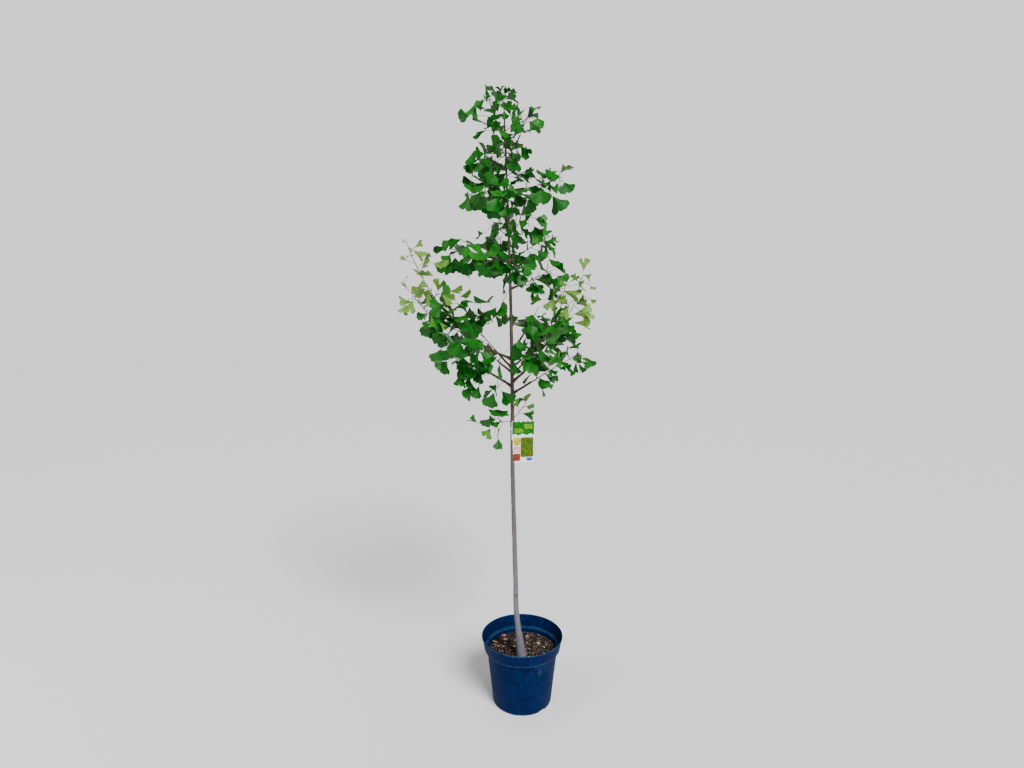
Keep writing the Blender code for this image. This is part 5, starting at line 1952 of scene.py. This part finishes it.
@dataclass
class HangLabel:
    """Plastic label on a strap round the trunk: a scalloped header over a narrower card.

    Its print is a plain arrangement of colour fields, with no picture and no lettering.
    """

    top: float = 0.982
    left: float = -0.038
    header: Pair = (0.078, 0.058)
    card: Pair = (0.070, 0.076)
    scallops: int = 5
    scallop_depth: float = 0.006
    scallop_step: int = 20
    thickness: float = 0.0010
    turn: float = 12.0
    strap_level: float = 0.962
    strap_width: float = 0.006
    strap_thickness: float = 0.0014
    print_depth: float = 0.00025
    margin: float = 0.002

    @property
    def reach(self) -> float:
        """Distance of the sheet's front from the trunk's axis."""
        return TRUNK.radius(self.strap_level) + GAP + self.strap_thickness

    def outline(self) -> list[Pair]:
        """Outline of the sheet, across and down from its top left corner, its scallops first."""
        width, height = self.header
        inset = (width - self.card[0]) / 2.0
        foot = height + self.card[1]
        step = width / self.scallops
        top = []
        for index in range(self.scallops):
            for angle in map(math.radians, range(0, 180, self.scallop_step)):
                across = step * (index + 0.5) - math.cos(angle) * step / 2.0
                top.append((across, -math.sin(angle) * self.scallop_depth))
        right = [(width, 0.0), (width, height), (width - inset, height), (width - inset, foot)]
        return top + right + [(inset, foot), (inset, height), (0.0, height)]

    def plate(self, name: str, outline: Sequence[Pair], proud: float, depth: float, finish: Finish,
              edge: float = 0.0) -> Piece:
        """Thin plate from an outline, extruded towards the back.

        Args:
            name: The piece's name.
            outline: Points across and down from the sheet's top left corner.
            proud: How far its front stands before the sheet's front.
            depth: Its thickness.
            finish: Its finish.
            edge: Width of its rounded edges.

        Returns:
            The new object.
        """
        trunk = TRUNK.at(self.strap_level)
        place = Matrix.Translation(trunk) @ Matrix.Rotation(math.radians(self.turn), 4, "Z")
        corners = [(self.left - trunk.x + across, -self.reach - proud, self.top - trunk.z - down)
                   for across, down in outline]
        mesh = bpy.data.meshes.new(name)
        mesh.from_pydata(corners, [], [tuple(range(len(corners)))])
        piece = link_new(name, mesh)
        piece.matrix_world = place
        edit_all(piece)
        bpy.ops.mesh.extrude_region_move()
        settle(piece)
        for vertex in piece.data.vertices[len(corners):]:
            vertex.co += place.to_3x3() @ Vector((0.0, depth, 0.0))
        clean_faces(piece)
        if edge:
            round_edges(piece, edge)
        piece.data.materials.append(finish.build())
        return settle(piece, 40.0)

    def field(self, left: float, top: float, width: float, height: float, round_share: float) -> list[Pair]:
        """Outline of a colour field by its edges, its corners rounded by a share of half its lesser side."""
        radius = min(width, height) / 2.0 * round_share
        first, last = left + radius, left + width - radius
        upper, lower = top + radius, top + height - radius
        middles = ((last, upper, -90), (last, lower, 0), (first, lower, 90), (first, upper, 180))
        points = []
        for x, y, start in middles:
            for turn in range(0, 91, 15):
                angle = math.radians(start + turn)
                points.append((x + math.cos(angle) * radius, y + math.sin(angle) * radius))
        return points

    def build_print(self) -> None:
        """Green header field that follows the scallops, and the rounded fields below."""
        width = self.header[0]
        right = width - self.margin
        scalloped = self.outline()[:self.scallops * 180 // self.scallop_step]
        top = [(min(max(x, self.margin), right), y + 0.0018) for x, y in scalloped]
        wave = [(right - (width - 2.0 * self.margin) * step / 16, 0.040 + 0.0025 * math.cos(step * 1.1))
                for step in range(17)]
        prints = [("header", top + wave, "leaf green", 1.0)]
        for name, ink, *edges, round_share in FIELDS:
            outline = self.field(*(edge * MILLIMETRE for edge in edges), round_share)
            prints.append((name, outline, ink, 1.5 if ink == "lime" else 1.0))
        for name, outline, ink, layers in prints:
            proud = self.print_depth * layers
            hand_over(self.plate("label_field_" + name, outline, proud, proud, INKS[ink]))

    def build(self) -> None:
        """Build the sheet, the strap and the printed fields."""
        sheet = self.plate("label_sheet", self.outline(), 0.0, self.thickness, SHEET_FILM, 0.0002)
        hand_over(sheet, ["hang_label"])
        select_only(None)
        bpy.ops.mesh.primitive_cylinder_add(vertices=48, radius=self.reach, depth=self.strap_width,
                                            location=TRUNK.at(self.strap_level), end_fill_type="NOTHING")
        strap = bpy.context.object
        strap.name = "label_strap"
        apply_modifier(strap, "SOLIDIFY", thickness=self.strap_thickness, offset=-1.0)
        apply_modifier(strap, "BEVEL", width=0.0003, segments=2, limit_method="ANGLE")
        finish_off(strap, STRAP_FILM, 40.0)
        self.build_print()


@dataclass
class Studio:
    """Plain pale floor, soft light and the camera."""

    floor_size: float = 40.0
    lens: float = 20.285
    stand: Triple = (-0.0351, -1.895, 1.315)
    look_down: float = 6.3
    sky_light: float = 0.42
    backdrop: float = 1.22
    key_light: float = 4.4
    key_width: float = 26.0
    key_stand: Triple = (1.3, -2.3, 3.6)
    fill_light: float = 30.0
    fill_width: float = 2.4
    fill_stand: Triple = (-3.0, -1.6, 1.6)
    aim: Triple = (0.0, 0.0, 1.1)

    def build_floor(self) -> None:
        """A large matt floor."""
        select_only(None)
        bpy.ops.mesh.primitive_grid_add(x_subdivisions=8, y_subdivisions=8, size=self.floor_size)
        floor = bpy.context.object
        floor.name = "studio_floor"
        paint = bpy.data.materials.new("matte floor paint")
        paint.use_nodes = True
        shader = paint.node_tree.nodes["Principled BSDF"]
        shader.inputs["Base Color"].default_value = linear("#f4f4f4")
        shader.inputs["Roughness"].default_value = 0.9
        floor.data.materials.append(paint)
        floor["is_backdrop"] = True

    def build_light(self) -> None:
        """A broad sun, a soft fill and a sky that looks brighter than it lights."""
        world = bpy.data.worlds.new("studio")
        world.use_nodes = True
        bpy.context.scene.world = world
        tree = world.node_tree
        background = tree.nodes["Background"]
        path = add_node(tree, "LightPath")
        strength = add_node(tree, "MapRange", {"To Min": self.sky_light, "To Max": self.backdrop,
                                               "Value": path.outputs["Is Camera Ray"]})
        background.inputs["Color"].default_value = linear("#ffffff")
        tree.links.new(strength.outputs["Result"], background.inputs["Strength"])
        key = bpy.data.lights.new("key", "SUN")
        key.energy = self.key_light
        key.angle = math.radians(self.key_width)
        fill = bpy.data.lights.new("fill", "AREA")
        fill.energy = self.fill_light
        fill.size = self.fill_width
        for light, place in ((key, self.key_stand), (fill, self.fill_stand)):
            lamp = link_new(light.name, light)
            lamp.location = place
            lamp.rotation_euler = (Vector(self.aim) - Vector(place)).to_track_quat("-Z", "Y").to_euler()

    def build(self) -> None:
        """Build floor, light and camera."""
        self.build_floor()
        self.build_light()
        view = bpy.data.cameras.new("camera")
        view.lens = self.lens
        view.sensor_width = 36.0
        camera = link_new("camera", view)
        camera.location = self.stand
        camera.rotation_euler = (math.radians(90.0 - self.look_down), 0.0, 0.0)
        bpy.context.scene.camera = camera


def write_size() -> None:
    """Bring the view layer up to date."""
    bpy.context.view_layer.update()


def main() -> None:
    """Build the looks in order and report each piece."""
    logging.basicConfig(level=logging.INFO, format="%(message)s")
    Studio().build()
    masses = grow_crown()
    LOG.info("leaves: %d", sum(len(mass.leaves) for mass in masses))
    Pot().build()
    PottingMix().build()
    Bark(masses).build()
    Foliage(masses).build()
    HangLabel().build()
    write_size()


if __name__ == "__main__":
    main()
